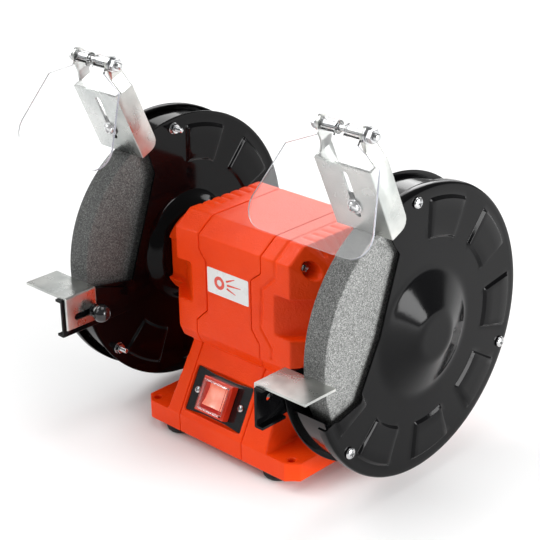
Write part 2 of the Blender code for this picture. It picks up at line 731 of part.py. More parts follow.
def motor():
    place = along(1)
    passage = SLEEVE + GAP
    core = [(STATOR_RADIUS, STACK), (STATOR_RADIUS, -STACK), (passage, -STACK), (passage, STACK)]
    finish(turned("stator_core", core, place, CASTING_STEPS, ring=True), "laminations")
    near = STACK + GAP
    crown = COIL_OUTER - 0.003
    coil = [(COIL_RADIUS, END_TURNS), (crown, END_TURNS), (COIL_OUTER, near), (SLEEVE, near),
            (SLEEVE, -near), (COIL_OUTER, -near), (crown, -END_TURNS), (COIL_RADIUS, -END_TURNS)]
    finish(turned("stator_winding", coil, place, 24, ring=True), "copper")
    bore = CORE_SHAFT_RADIUS + GAP
    rim = ROTOR_RADIUS - 0.002
    rotor = [(bore, CORE_REACH), (rim, CORE_REACH), (ROTOR_RADIUS, STACK), (ROTOR_RADIUS, -STACK),
             (rim, -CORE_REACH), (bore, -CORE_REACH)]
    finish(turned("rotor_core", rotor, place, 24, ring=True), "laminations")
    for side in (1, -1):
        low, high = BEARING_SPAN
        ring = [(BEARING_RADIUS, high), (BEARING_RADIUS, low), (JOURNAL_RADIUS + GAP, low),
                (JOURNAL_RADIUS + GAP, high)]
        finish(turned("bearing_" + side_name(side), ring, along(side), 20, ring=True), "steel")


def fan():
    """A paddle fan: blades round a hub, in one outline."""
    outline = []
    for blade in range(FAN_BLADES):
        middle = blade * 360 / FAN_BLADES
        outline.append(polar(FAN_HUB, middle - BLADE_ROOT))
        outline.append(polar(FAN_TIP, middle - BLADE_TIP))
        outline.append(polar(FAN_TIP, middle + BLADE_TIP))
        outline.append(polar(FAN_HUB, middle + BLADE_ROOT))
    made = prism("fan", outline, "X", BELL_BORES[0][0] + 0.004, BELL_BORES[1][0] - 0.001)
    bore = CORE_SHAFT_RADIUS + GAP
    cut(made, rod("fan_bore", (0, 0, 0), (BELL_BORES[1][0] + OVERSHOOT, 0, 0), bore, 20))
    finish(made, "black_plastic")


def shaft():
    neck = BEARING_SPAN[0] - 0.015
    step = BEARING_SPAN[1] + 0.004
    end = WHEEL_OUTER + GAP + FLANGE_THICKNESS + GAP + NUT_THICKNESS + THREAD_STANDOUT
    half = [(0, end), (SPINDLE_RADIUS, end), (SPINDLE_RADIUS, step),
            (JOURNAL_RADIUS, step), (JOURNAL_RADIUS, neck), (CORE_SHAFT_RADIUS, neck)]
    profile = half + [(radius, -height) for radius, height in reversed(half)]
    finish(turned("shaft", profile, along(1), 20), "steel")


def wheel_set(side):
    label = side_name(side)
    place = along(side)
    bore = SPINDLE_RADIUS + GAP
    ring = [(bore, WHEEL_OUTER), (WHEEL_RADIUS, WHEEL_OUTER), (WHEEL_RADIUS, WHEEL_INNER),
            (bore, WHEEL_INNER)]
    finish(turned("wheel_" + label, ring, place, 56, ring=True), "abrasive")
    near = WHEEL_INNER - GAP
    far = near - FLANGE_THICKNESS
    hub_end = BEARING_SPAN[1] + 0.007
    hub = 0.013
    inner = [(bore, near), (FLANGE_RADIUS, near), (FLANGE_RADIUS, far + 0.002), (FLANGE_RADIUS - 0.006, far),
             (hub, far), (hub, hub_end), (bore, hub_end)]
    finish(turned("inner_flange_" + label, inner, place, 20, ring=True), "zinc")
    near = WHEEL_OUTER + GAP
    far = near + FLANGE_THICKNESS
    outer = [(bore, far), (FLANGE_RADIUS - 0.006, far), (FLANGE_RADIUS, far - 0.002), (FLANGE_RADIUS, near),
             (bore, near)]
    finish(turned("outer_flange_" + label, outer, place, 20, ring=True), "zinc")
    low = far + GAP
    high = low + NUT_THICKNESS
    nut = rod("wheel_nut_" + label, (side * low, 0, 0), (side * high, 0, 0), NUT_FLATS / sqrt(3), 6)
    cut(nut, rod("nut_bore", (side * (low - OVERSHOOT), 0, 0), (side * (high + OVERSHOOT), 0, 0), bore, 24))
    finish(nut, "zinc")


# ---------------------------------------------------------------- guards

def mouth(name, points, side, low, high):
    """The front opening of a cover, as a cutter along the shaft."""
    outline = list(points)
    reach = GUARD_RADIUS * 1.5
    outline += [(-reach, outline[-1][1]), (-reach, outline[0][1])]
    return prism(name, outline, "X", *span(side, low, high))


def pads(side, low, high, count):
    """Pressed pads: sectors that stand out of the sheet."""
    made = []
    for index in range(count):
        middle = PAD_FIRST - index * PAD_PITCH
        start, end = middle - PAD_WIDTH / 2, middle + PAD_WIDTH / 2
        outline = arc(PAD_OUTER, start, end, 3) + arc(PAD_INNER, end, start, 2)
        made.append(prism("pad", outline, "X", *span(side, low, high)))
    return made


def guard_bolt_holes(side, low, high):
    holes = []
    radius = GUARD_BOLT_RADIUS + GAP
    for angle in GUARD_BOLT_ANGLES:
        y, z = polar(GUARD_BOLT_CIRCLE, angle)
        holes.append(rod("guard_bolt_hole", (side * low, y, z), (side * high, y, z), radius, 12))
    return holes


def guard_covers(side):
    label = side_name(side)
    face = COVER_OUT
    back = COVER_OUT - SHEET
    crown = face + OUTER_DOME_RISE
    foot = OUTER_DOME_RADIUS
    shell = [(0, crown), (OUTER_DOME_TOP, crown), (foot, face), (GUARD_RADIUS - RIM_BEND, face),
             (GUARD_RADIUS, face - RIM_BEND), (GUARD_RADIUS, face - RIM_DEPTH),
             (GUARD_RADIUS - SHEET, face - RIM_DEPTH), (GUARD_RADIUS - SHEET, back), (foot - 0.0005, back),
             (OUTER_DOME_TOP - 0.0005, crown - SHEET), (0, crown - SHEET)]
    outer = turned("guard_outer_" + label, shell, along(side))
    join(outer, *pads(side, face - SHEET / 2, face + PAD_RISE, 7))
    edge = [(y * GUARD_RADIUS, z * GUARD_RADIUS) for y, z in OUTER_MOUTH]
    cut(outer, mouth("outer_mouth", edge, side, WHEEL_INNER, crown + OVERSHOOT))
    cut(outer, *guard_bolt_holes(side, WHEEL_OUTER, face + 0.006))
    finish(outer, "black_sheet")

    near = COVER_IN
    far = COVER_IN + SHEET
    bottom = near - INNER_DOME_RISE
    dome = INNER_DOME_RADIUS
    sheet = [(SHAFT_OPENING, bottom + SHEET), (dome - 0.0085, bottom + SHEET), (dome, far),
             (GUARD_RADIUS, far), (GUARD_RADIUS, near), (dome + 0.001, near), (dome - 0.0075, bottom),
             (SHAFT_OPENING, bottom)]
    inner = turned("guard_inner_" + label, sheet, along(side), ring=True)
    join(inner, *pads(side, near - PAD_RISE, near + SHEET / 2, 6))
    edge = [(y * GUARD_RADIUS, z * GUARD_RADIUS) for y, z in INNER_MOUTH]
    lip = REST_TOP - REST_SHEET - LIP_CLEAR
    edge += [(y * GUARD_RADIUS, lip) for y in INNER_LIP]
    cut(inner, mouth("inner_mouth", edge, side, bottom - OVERSHOOT, far + OVERSHOOT))
    cut(inner, *guard_bolt_holes(side, near - 0.006, far + OVERSHOOT))
    finish(inner, "black_sheet")


def bracket_frame(side):
    """Local X across the wheel, Y behind the bracket's face and Z up it, from its top edge."""
    y, z = polar(WHEEL_RADIUS + BRACKET_CLEAR, BRACKET_ANGLE)
    turn = Matrix.Rotation(LEAN, 4, "X")
    return Matrix.Translation((side * WHEEL_CENTRE, y, z)) @ turn @ Matrix.Translation((0, 0, BRACKET_LENGTH))


def band_end():
    """Angle at which the band meets the tab's plane."""
    frame = bracket_frame(1)
    tab_middle = BRACKET_SHEET + GAP + SHEET / 2
    start = frame @ Vector((0, tab_middle, 0))
    up = frame.to_3x3() @ Vector((0, 0, 1))
    radius = BAND_RADIUS - SHEET / 2
    across = start.y * up.y + start.z * up.z
    spare = across * across - (start.y ** 2 + start.z ** 2 - radius ** 2)
    run = -across + sqrt(spare)
    return degrees(atan2(start.z + run * up.z, start.y + run * up.y)), run


def guard_band(side):
    low = COVER_IN + SHEET + GAP
    high = COVER_OUT - SHEET - GAP
    start, tab_foot = band_end()
    outline = arc(BAND_RADIUS, start, BAND_FOOT, ROUND_STEPS)
    outline += arc(BAND_RADIUS - SHEET, BAND_FOOT, start, ROUND_STEPS)
    band = prism("guard_band_" + side_name(side), outline, "X", *span(side, low, high))
    near = BRACKET_SHEET + GAP
    half = TAB_WIDTH / 2
    middle = (low + high) / 2 - WHEEL_CENTRE
    tab_top = -ARRESTOR_BOLT_FROM_TOP + TAB_ABOVE_BOLT
    centre = side * middle
    tab = box("tab", (centre - half, near, tab_foot - SHEET * 0.7), (centre + half, near + SHEET, tab_top))
    frame = bracket_frame(side)
    join(band, placed(tab, frame))
    spot = Vector((0, 0, -ARRESTOR_BOLT_FROM_TOP))
    start = frame @ (spot + Vector((0, -0.01, 0)))
    end = frame @ (spot + Vector((0, 0.02, 0)))
    cut(band, rod("tab_hole", start, end, ARRESTOR_BOLT_RADIUS + GAP, 12))
    finish(band, "black_sheet")


def bolt_with_nut(name, place, shank_radius, head, grip, nut_height, tail, washer=0.0):
    """A domed bolt along local -Z: its head sits on z = 0 and its nut closes on z = -grip."""
    radius = BOLT_HEAD_RADIUS
    top = head + washer
    profile = [(0, top), (radius * 0.6, top - head * 0.2), (radius, washer + GAP)]
    if washer:
        profile += [(radius * 1.4, washer + GAP), (radius * 1.4, GAP)]
    near = -grip - GAP
    far = near - nut_height
    profile += [(shank_radius, GAP), (shank_radius, far - tail), (0, far - tail)]
    made = turned(name, profile, place, SMALL_STEPS)
    start = place @ Vector((0, 0, near))
    end = place @ Vector((0, 0, far))
    nut = rod("nut", start, end, BOLT_NUT_FLATS / sqrt(3), 6)
    nut.data.transform(place.inverted())
    nut.matrix_basis = place
    join(made, nut)
    return made


def guard_bolts(side):
    grip = COVER_OUT - COVER_IN
    for index, angle in enumerate(GUARD_BOLT_ANGLES):
        y, z = polar(GUARD_BOLT_CIRCLE, angle)
        place = Matrix.Translation((side * COVER_OUT, y, z)) @ along(side)
        name = "guard_bolt_%s_%d" % (side_name(side), index + 1)
        made = bolt_with_nut(name, place, GUARD_BOLT_RADIUS, GUARD_BOLT_HEAD, grip, GUARD_BOLT_NUT,
                             GUARD_BOLT_TAIL)
        finish(made, "zinc")


# ---------------------------------------------------------------- spark arrestor bracket and eye shield

def shield_bracket(side):
    label = side_name(side)
    frame = bracket_frame(side)
    half = BRACKET_WIDTH / 2
    sheet = BRACKET_SHEET
    depth = BRACKET_DEPTH
    section = [(-half, 0), (half, 0), (half, depth), (half - sheet, depth), (half - sheet, sheet),
               (sheet - half, sheet), (sheet - half, depth), (-half, depth)]
    made = prism("shield_bracket_" + label, section, "Z", -BRACKET_LENGTH, 0)
    top = HINGE_UP + 0.006
    inner = EAR_INSIDE
    outer = EAR_INSIDE + sheet
    for sx in (1, -1):
        strip = [(half, -0.004), (half, 0.0), (outer, EAR_SLANT), (outer, top), (inner, top),
                 (inner, EAR_SLANT), (half - sheet, 0.0), (half - sheet, -0.004)]
        ear = prism("ear", [(sx * x, z) for x, z in strip], "Y", HINGE_BACK - EAR_WIDTH / 2,
                    HINGE_BACK + EAR_WIDTH / 2)
        join(made, ear)
    foot = -BRACKET_LENGTH
    corner = [(depth + OVERSHOOT, foot - OVERSHOOT), (depth + OVERSHOOT, foot + FLANGE_CORNER)]
    corner += arc(FLANGE_CORNER, 0, -90, 4, (depth - FLANGE_CORNER, foot + FLANGE_CORNER))
    corner.append((depth - FLANGE_CORNER, foot - OVERSHOOT))
    cut(made, prism("flange_corner", corner, "X", -half - OVERSHOOT, half + OVERSHOOT))
    slot_half = SLOT_WIDTH / 2
    slot_top = -SLOT_FROM_TOP - slot_half
    slot_foot = -SLOT_FROM_TOP - SLOT_LENGTH + slot_half
    slot = arc(slot_half, 0, 180, 6, (0, slot_top)) + arc(slot_half, 180, 360, 6, (0, slot_foot))
    cut(made, prism("slot", slot, "Y", -OVERSHOOT, sheet + OVERSHOOT))
    cut(made, rod("hinge_hole", (-half, HINGE_BACK, HINGE_UP), (half, HINGE_BACK, HINGE_UP),
                  HINGE_RADIUS + GAP, 12))
    placed(baked(made), frame)
    pivot = frame @ Vector((0, 0, -ARRESTOR_BOLT_FROM_TOP))
    finish(made, "zinc", pivot)

    rod_middle = frame @ Vector((0, HINGE_BACK, HINGE_UP))
    hinge_bolt(label, rod_middle)
    eye_shield(label, rod_middle)
    facing = Matrix.Rotation(pi / 2, 4, "X")
    bolt_spot = frame @ Matrix.Translation((0, 0, -ARRESTOR_BOLT_FROM_TOP)) @ facing
    bolt = bolt_with_nut("arrestor_bolt_" + label, bolt_spot, ARRESTOR_BOLT_RADIUS, ARRESTOR_BOLT_HEAD,
                         BRACKET_SHEET + GAP + SHEET, ARRESTOR_BOLT_NUT, ARRESTOR_BOLT_TAIL, ARRESTOR_WASHER)
    finish(bolt, "zinc")


def hinge_bolt(label, middle):
    """The shield's rod with its head and washer, and the nut and washer at its other end."""
    seat = EAR_INSIDE + BRACKET_SHEET + GAP
    face = seat + HINGE_WASHER
    nut_end = face + HINGE_NUT
    end = nut_end + GAP + HINGE_TAIL
    place = Matrix.Translation(middle) @ along(-1)
    profile = [(0, face + HINGE_HEAD), (HINGE_HEAD_RADIUS * 0.7, face + HINGE_HEAD * 0.9),
               (HINGE_HEAD_RADIUS, face), (HINGE_WASHER_RADIUS, face), (HINGE_WASHER_RADIUS, seat),
               (HINGE_RADIUS, seat), (HINGE_RADIUS, -end), (0, -end)]
    finish(turned("hinge_bolt_" + label, profile, place, SMALL_STEPS), "zinc", middle)
    lap = Vector((face - 0.0004, 0, 0))
    made = rod("hinge_nut_" + label, middle + lap, middle + Vector((nut_end, 0, 0)),
               HINGE_NUT_FLATS / sqrt(3), 6)
    join(made, rod("nut_washer", middle + Vector((seat, 0, 0)), middle + Vector((face, 0, 0)),
                   HINGE_NUT_WASHER, 16))
    cut(made, rod("hinge_nut_bore", middle, middle + Vector((end + OVERSHOOT, 0, 0)), HINGE_RADIUS + GAP, 12))
    finish(made, "zinc", middle)


def eye_shield(label, middle):
    """A clear sheet that hangs in front of its two hinge barrels. Local Z runs up the sheet."""
    neck_x, neck_s = SHIELD_NECK
    shoulder_x, shoulder_s = SHIELD_SHOULDER
    foot_x, foot_s = SHIELD_FOOT
    radius = SHIELD_CORNER
    half = [(neck_x, 0.001), (neck_x, -neck_s), (shoulder_x, -shoulder_s)]
    half += arc(radius, 12, -90, 6, (foot_x - radius, -foot_s + radius))
    outline = half + [(-x, z) for x, z in reversed(half)]
    near = -SHIELD_OFFSET - SHIELD_SHEET / 2
    made = prism("eye_shield_" + label, outline, "Y", near, near + SHIELD_SHEET)
    for sx in (1, -1):
        reach = (sx * BARREL_SPLIT, sx * BARREL_HALF)
        join(made, rod("barrel", (min(reach), 0, 0), (max(reach), 0, 0), BARREL_RADIUS, 16))
    cut(made, box("barrel_gap", (-BARREL_SPLIT, -0.02, -0.0065), (BARREL_SPLIT, 0.02, 0.02)))
    out = BARREL_HALF + OVERSHOOT
    cut(made, rod("barrel_bore", (-out, 0, 0), (out, 0, 0), HINGE_RADIUS + GAP, 12))
    placed(baked(made), Matrix.Translation(middle) @ Matrix.Rotation(-radians(SHIELD_LEAN), 4, "X"))
    finish(made, "clear_plastic", middle)


# ---------------------------------------------------------------- tool rests

def tool_rest(side):
    label = side_name(side)
    back = -(WHEEL_RADIUS + REST_GAP)
    front = back - REST_LENGTH
    low = FLANGE_IN
    high = FLANGE_IN + REST_REACH
    sheet = REST_SHEET
    foot = REST_TOP - REST_FLANGE_DROP
    section = [(low, foot), (low + sheet, foot), (low + sheet, REST_TOP - sheet), (high, REST_TOP - sheet),
               (high, REST_TOP), (low + 0.001, REST_TOP), (low, REST_TOP - 0.001)]
    rest = prism("tool_rest_" + label, [(side * x, z) for x, z in section], "Y", front, back)
    slot_half = REST_SLOT_WIDTH / 2
    end = KNOB_Y + slot_half
    slot = arc(slot_half, 90, -90, 6, (end - slot_half, KNOB_Z))
    slot += arc(slot_half, 270, 90, 6, (end + slot_half - REST_SLOT, KNOB_Z))
    cut(rest, prism("rest_slot", slot, "X", *span(side, low - OVERSHOOT, low + sheet + OVERSHOOT)))
    finish(rest, "zinc", (side * low, KNOB_Y, KNOB_Z))

    near = ARM_IN
    far = ARM_IN + ARM_SHEET
    top = REST_TOP - sheet - GAP
    lip_back = -GUARD_RADIUS - 0.0006
    web = [(-ARM_FRONT, ARM_FOOT), (-ARM_BACK, ARM_FOOT), (-ARM_BACK, top - 0.010), (-WHEEL_RADIUS, top),
           (-ARM_FRONT, top)]
    arm = prism("rest_arm_" + label, web, "X", *span(side, near, far))
    for z in (ARM_FOOT, top - ARM_SHEET):
        ends = span(side, far - 0.001, near + ARM_LIP)
        join(arm, box("arm_lip", (ends[0], -ARM_FRONT, z), (ends[1], lip_back, z + ARM_SHEET)))
    cut(arm, rod("knob_hole", (side * (near - 0.01), KNOB_Y, KNOB_Z), (side * (far + 0.01), KNOB_Y, KNOB_Z),
                 KNOB_SHANK + GAP, 12))
    cut(arm, rod("arm_hole", (side * (near - 0.01), *ARM_HOLE), (side * (far + 0.01), *ARM_HOLE),
                 ARM_HOLE_RADIUS, 12))
    finish(arm, "black_sheet")

    collar_end = FLANGE_IN - GAP
    shank_end = far - GAP
    ball = collar_end - KNOB_LENGTH
    r = KNOB_RADIUS
    profile = [(0, shank_end), (KNOB_SHANK, shank_end), (KNOB_SHANK, collar_end), (KNOB_COLLAR, collar_end),
               (KNOB_COLLAR, collar_end - 0.002), (KNOB_COLLAR - 0.0012, collar_end - 0.0028)]
    for angle in (45, 5, -40):
        profile.append((r * cos(radians(angle)), ball + r + r * sin(radians(angle))))
    profile.append((0, ball))
    place = Matrix.Translation((0, KNOB_Y, KNOB_Z)) @ along(side)
    finish(turned("rest_knob_" + label, profile, place, 12), "black_plastic", (0, KNOB_Y, KNOB_Z))


def build():
    housings()
    base_pieces()
    switch()
    inlet_and_capacitor()
    motor()
    fan()
    shaft()
    for side in (-1, 1):
        wheel_set(side)
        guard_covers(side)
        guard_band(side)
        guard_bolts(side)
        shield_bracket(side)
        tool_rest(side)


build()
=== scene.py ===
"""Looks of the bench grinder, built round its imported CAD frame.

Metres, in the frame's own axes: +X along the shaft to the right-hand wheel, +Y to the back, +Z up.
Side +1 is the right wheel, side -1 the left one. The sizes come first, then the helpers for meshes and
materials, then one function for each kind of piece, and the studio last.
"""

import json
from math import atan2, cos, hypot, pi, radians, sin

import bmesh
import bpy
from mathutils import Matrix, Vector


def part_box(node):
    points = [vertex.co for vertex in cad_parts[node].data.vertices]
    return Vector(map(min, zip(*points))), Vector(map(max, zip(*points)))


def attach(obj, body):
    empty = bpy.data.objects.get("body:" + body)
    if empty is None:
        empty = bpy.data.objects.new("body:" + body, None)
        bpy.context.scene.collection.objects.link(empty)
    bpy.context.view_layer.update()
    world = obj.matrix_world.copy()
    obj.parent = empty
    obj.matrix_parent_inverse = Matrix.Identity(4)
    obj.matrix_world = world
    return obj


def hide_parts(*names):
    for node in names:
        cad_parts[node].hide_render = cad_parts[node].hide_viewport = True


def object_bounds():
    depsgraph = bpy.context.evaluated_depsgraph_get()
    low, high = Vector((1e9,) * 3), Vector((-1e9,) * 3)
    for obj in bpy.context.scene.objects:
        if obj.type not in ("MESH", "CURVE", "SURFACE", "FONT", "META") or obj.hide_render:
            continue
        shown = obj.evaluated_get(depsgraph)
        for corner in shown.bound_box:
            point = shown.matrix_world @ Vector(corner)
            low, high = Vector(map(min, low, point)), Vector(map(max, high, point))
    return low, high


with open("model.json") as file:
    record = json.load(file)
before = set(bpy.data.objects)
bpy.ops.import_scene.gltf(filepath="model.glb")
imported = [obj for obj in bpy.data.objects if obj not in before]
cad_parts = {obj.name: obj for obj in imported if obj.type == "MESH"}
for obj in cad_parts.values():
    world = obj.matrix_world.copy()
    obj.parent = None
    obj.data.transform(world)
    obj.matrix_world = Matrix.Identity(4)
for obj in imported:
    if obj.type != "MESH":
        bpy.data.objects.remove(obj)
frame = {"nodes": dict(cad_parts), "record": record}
CAD_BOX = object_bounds()

NODES = frame["nodes"]
BODY_OF = {node: body for body, nodes in frame["record"]["behaviour"]["bodies"].items() for node in nodes}
SLOT_OF = {part["node"]: part["material_slot"] for part in frame["record"]["subparts"]}
SIDES = {-1: "left", 1: "right"}

# Places that the frame gives
WHEEL_LOW, WHEEL_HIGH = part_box("wheel_right")
SHAFT_Z = (WHEEL_LOW.z + WHEEL_HIGH.z) / 2
WHEEL_RADIUS = (WHEEL_HIGH.z - WHEEL_LOW.z) / 2
WHEEL_CENTRE = (WHEEL_LOW.x + WHEEL_HIGH.x) / 2
GUARD_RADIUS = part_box("guard_outer_right")[1].y
FLOOR_Z = CAD_BOX[0].z

# Guards, as in the CAD source
SHEET = 0.0015
DOME_RISE = 0.012
DOME_TOP = 0.015
DOME_FOOT = 0.052
DOME_ROUND = 0.006           # of its shoulder and foot
INNER_BORE = 0.0162
INNER_TOP = 0.034            # the inner cover's sunk middle
INNER_FOOT = 0.048
RIM_BEND = 0.0025
RIM_DEPTH = 0.008
RIM_FLAT = 0.003             # between the face's last line and the bend
COVER_EDGE = (0.0006, 3, radians(24))                # bevel's width, segments and least angle
MOUTH_MARGIN = 0.004         # the mouth's cutter reaches this far past the sheet
PAD_RISE = 0.0019
PAD_WIDTH = 22.5             # degrees
PAD_PITCH = 40.0
PAD_FIRST = 76.0
PAD_INNER = WHEEL_RADIUS - 0.0265
PAD_OUTER = WHEEL_RADIUS
PAD_WALL = 0.0022            # width of a pad's sloping side
OUTER_MOUTH = ((-0.53, 1.07), (-0.316, 0.72), (-0.254, 0.626), (-0.434, 0.110), (-0.631, -0.259),
               (-0.911, -0.328), (-1.07, -0.44))
INNER_MOUTH = ((-0.40, 1.07), (-0.333, 0.777), (-0.286, 0.632), (-0.548, -0.104))
INNER_LIP = ((-0.886, -0.0052), (-1.07, -0.0052))    # fraction of the radius, and height in metres
RING_STEP = 3.0              # degrees between the lines of a pressed sheet
DOME_STATIONS = 22

# Fasteners: a head is (radius, height), a washer (radius, bore, height) and a nut (flats, height)
OVERCUT = 0.001              # a cutter reaches this far past what it cuts
BELL_HEAD = (0.0044, 0.0030)
BELL_WASHER = (0.0054, 0.0020, 0.0008)
PLATE_HEAD = (0.0034, 0.0012)
PLATE_INSET = 0.007
PLATE_SINK = 0.00015
GUARD_HEAD = (0.0044, 0.0024)
GUARD_WASHER = (0.0046, 0.0021, 0.0008)
GUARD_NUT = (0.0072, 0.0030)
GUARD_SHANK = 0.0019
GUARD_THREAD = 0.0036        # where the thread end starts, just inside the nut
SWITCH_HEAD = (0.0030, 0.0018)
SWITCH_SHANK = 0.0015
HINGE_RADIUS = 0.0026
HINGE_BORE = 0.00265
HINGE_HEX = 0.0088
HINGE_WASHER = 0.0014
HINGE_SPLIT = 0.0009         # thickness of the spring washer
ARRESTOR_RADIUS = 0.0023
ARRESTOR_DOME = 0.0045
ARRESTOR_WASHER = (0.0062, ARRESTOR_RADIUS, 0.0011)
ARRESTOR_HEAD = 0.0041       # head and washer
ARRESTOR_GRIP = 0.0044
ARRESTOR_NUT = (0.0078, 0.0040)

# Brackets, wheels and rests
BRACKET_LEAN = radians(23.46)
BRACKET_HALF = 0.030
EAR_RADIUS = 0.0059
EAR_CUT = (0.008, 0.010)     # half width and height of what is cut away above the hinge
BEND_EDGE = 0.00028          # break of a bent sheet's cut edges
WHEEL_BORE = 0.0080
WHEEL_SOFT = 0.0007          # wear of the wheel's corners
WHEEL_NUT_FLATS = 0.024
WHEEL_NUT_BORE = 0.0081
FOOT_SIDE = ((0.0032, 0), (0.0018, 0.0004), (0.0008, 0.0016), (0.0004, 0.0034), (0.0011, 0.0040),
             (0.0011, 0.0047), (0.0002, 0.0053), (0, 0.0065), (0, 0.0076))   # inset and height
FOOT_BREAK = 0.0004
FOOT_STEM = 0.0036
KNOB_COLLAR = 0.0165         # from the knob's end to its threaded stem
STEM_RADIUS = 0.0023

# Castings and label
VOXEL = 0.0009
BODY_FRONT = -0.054
GROOVE_WIDTH = 0.0022
GROOVE_DEPTH = 0.0019
GROOVE = ((0.0455, 0.047), (0.0455, 0.032), (0.0316, 0.019), (0.0300, -0.0137), (0.0414, -0.0275),
          (0.0404, -0.0370))                         # across and up from the shaft, on the front face
BELL_SCREWS = ((0.040, 0.040), (0.040, -0.036))
BELL_SHOULDER = 0.060
TOP_PATH = ((BODY_FRONT, 0.045), (-0.0379, 0.056), (0.0379, 0.056), (0.054, 0.045))
LABEL = ((-0.026, 0.0), (0.018, 0.021))
LABEL_SHEET = (-0.0004, 0.00025)                     # back and front of the label, along its normal
MARK_SHEET = (0.00015, 0.00034)
MARK_MIDDLE = -0.009
MARK_RING = (0.0026, 0.0054)
SPARKS = ((24, 0.018), (4, 0.023), (-16, 0.018))     # degrees, and reach from the ring's middle
SPARK_START = 0.0082

# Meshes
WELD = 0.00001
FLAT = radians(0.6)
SMOOTH = radians(38)
BEVEL_FROM = radians(28)
LONGEST_CHORD = 0.7          # of its circle's radius
DEEPEST_ARC = 0.065          # between a chord and its circle, of the radius

# Studio
AZIMUTH, ELEVATION, ROLL = radians(44.23), radians(23.67), radians(-1.01)
CAMERA_AIM = Vector((-0.0200, 0.0085, SHAFT_Z - 0.0011))
CAMERA_DISTANCE = 1.2078
CAMERA_LENS = 101.42         # millimetres, on a sensor 36 wide
CAMERA_SENSOR = 36
WORLD_STRENGTH = 0.27
FLOOR_HALF = 8.0
LIGHTS = (                   # name, place, aim, size, watts
    ("key", (-1.27, -1.37, 1.46), (0, 0, 0.1), (2.0, 1.5), 23),
    ("left", (-1.30, -0.33, 1.60), (0, 0, 0.15), (0.9, 0.9), 12),
    ("right", (1.75, 0.20, 0.52), (0.05, 0, 0.12), (1.3, 0.85), 54),
    ("top", (0.1, 0.2, 2.1), (0, 0, 0.1), (1.2, 1.0), 10),
    ("low_back", (-1.30, 1.40, 1.0), (0, 0, 0.15), (1.0, 0.8), 6),
    ("back", (-0.6, 2.0, 0.9), (0, 0, 0.12), (1.6, 0.8), 14),
)


# ---------------------------------------------------------------- mesh helpers

def new_object(name, mesh):
    made = bpy.data.objects.new(name, mesh)
    bpy.context.scene.collection.objects.link(made)
    return made


def from_bmesh(name, bm):
    bmesh.ops.recalc_face_normals(bm, faces=bm.faces)
    mesh = bpy.data.meshes.new(name)
    bm.to_mesh(mesh)
    bm.free()
    return new_object(name, mesh)


def skinned(name, bm, rings):
    """A solid through closed rings of equally many points, capped at both ends."""
    for low, high in zip(rings, rings[1:]):
        for i in range(len(low)):
            j = (i + 1) % len(low)
            bm.faces.new((low[i], low[j], high[j], high[i]))
    bm.faces.new(rings[0])
    bm.faces.new(rings[-1])
    return from_bmesh(name, bm)


def baked(thing):
    """The object with its modifiers made part of its mesh."""
    bpy.context.view_layer.update()
    graph = bpy.context.evaluated_depsgraph_get()
    mesh = bpy.data.meshes.new_from_object(thing.evaluated_get(graph))
    thing.modifiers.clear()
    old = thing.data
    thing.data = mesh
    bpy.data.meshes.remove(old)
    return thing


def smooth(thing, angle=SMOOTH):
    mesh = thing.data
    mesh.polygons.foreach_set("use_smooth", [True] * len(mesh.polygons))
    mesh.set_sharp_from_angle(angle=angle)
    return thing


def bevelled(thing, width, segments=2, angle=BEVEL_FROM):
    """The object with every edge sharper than the angle broken."""
    smooth(thing)
    made = thing.modifiers.new("bevel", "BEVEL")
    made.width = width
    made.segments = segments
    made.limit_method = "ANGLE"
    made.angle_limit = angle
    made.use_clamp_overlap = True
    made.harden_normals = True
    return baked(thing)


def cut(thing, *cutters):
    """The object less the cutters, which are used up."""
    for cutter in cutters:
        made = thing.modifiers.new("cut", "BOOLEAN")
        made.operation = "DIFFERENCE"
        made.solver = "EXACT"
        made.object = cutter
    baked(thing)
    for cutter in cutters:
        bpy.data.objects.remove(cutter)
    return thing


def joined(name, things):
    """One object made of the meshes of several."""
    bm = bmesh.new()
    for thing in things:
        thing.data.transform(thing.matrix_world)
        bm.from_mesh(thing.data)
        bpy.data.objects.remove(thing)
    mesh = bpy.data.meshes.new(name)
    bm.to_mesh(mesh)
    bm.free()
    return new_object(name, mesh)


def placed(thing, matrix):
    thing.data.transform(matrix)
    return thing


def copied(thing, matrix):
    return placed(new_object(thing.name, thing.data.copy()), matrix)


def along(direction, at=(0, 0, 0)):
    """A frame whose Z runs in the given direction."""
    turn = Vector(direction).normalized().to_track_quat("Z", "Y").to_matrix().to_4x4()
    return Matrix.Translation(at) @ turn


def raised(height):
    return Matrix.Translation((0, 0, height))


def lathe(name, profile, steps=48):
    """A solid turned about Z from (radius, height) points, from one end of it to the other."""
    bm = bmesh.new()
    rings = []
    for radius, height in profile:
        if radius < WELD:
            rings.append([bm.verts.new((0, 0, height))])
        else:
            turns = [2 * pi * i / steps for i in range(steps)]
            rings.append([bm.verts.new((radius * cos(t), radius * sin(t), height)) for t in turns])
    if profile[0][0] >= WELD:
        rings.append(rings[0])
    for low, high in zip(rings, rings[1:]):
        for i in range(steps):
            j = (i + 1) % steps
            corners = [low[i % len(low)], low[j % len(low)], high[j % len(high)], high[i % len(high)]]
            bm.faces.new(dict.fromkeys(corners))
    return from_bmesh(name, bm)


def rod(radius, low, high, steps):
    """A shank, or the cutter of a bore, about Z."""
    return lathe("rod", [(0, low), (radius, low), (radius, high), (0, high)], steps)


def prism(name, outline, low, high):
    """A solid between two heights along Z with an outline of (x, y) points."""
    bm = bmesh.new()
    bottom = [bm.verts.new((x, y, low)) for x, y in outline]
    top = [bm.verts.new((x, y, high)) for x, y in outline]
    bm.faces.new(bottom)
    bm.faces.new(top)
    for i in range(len(outline)):
        j = (i + 1) % len(outline)
        bm.faces.new((bottom[i], bottom[j], top[j], top[i]))
    return from_bmesh(name, bm)


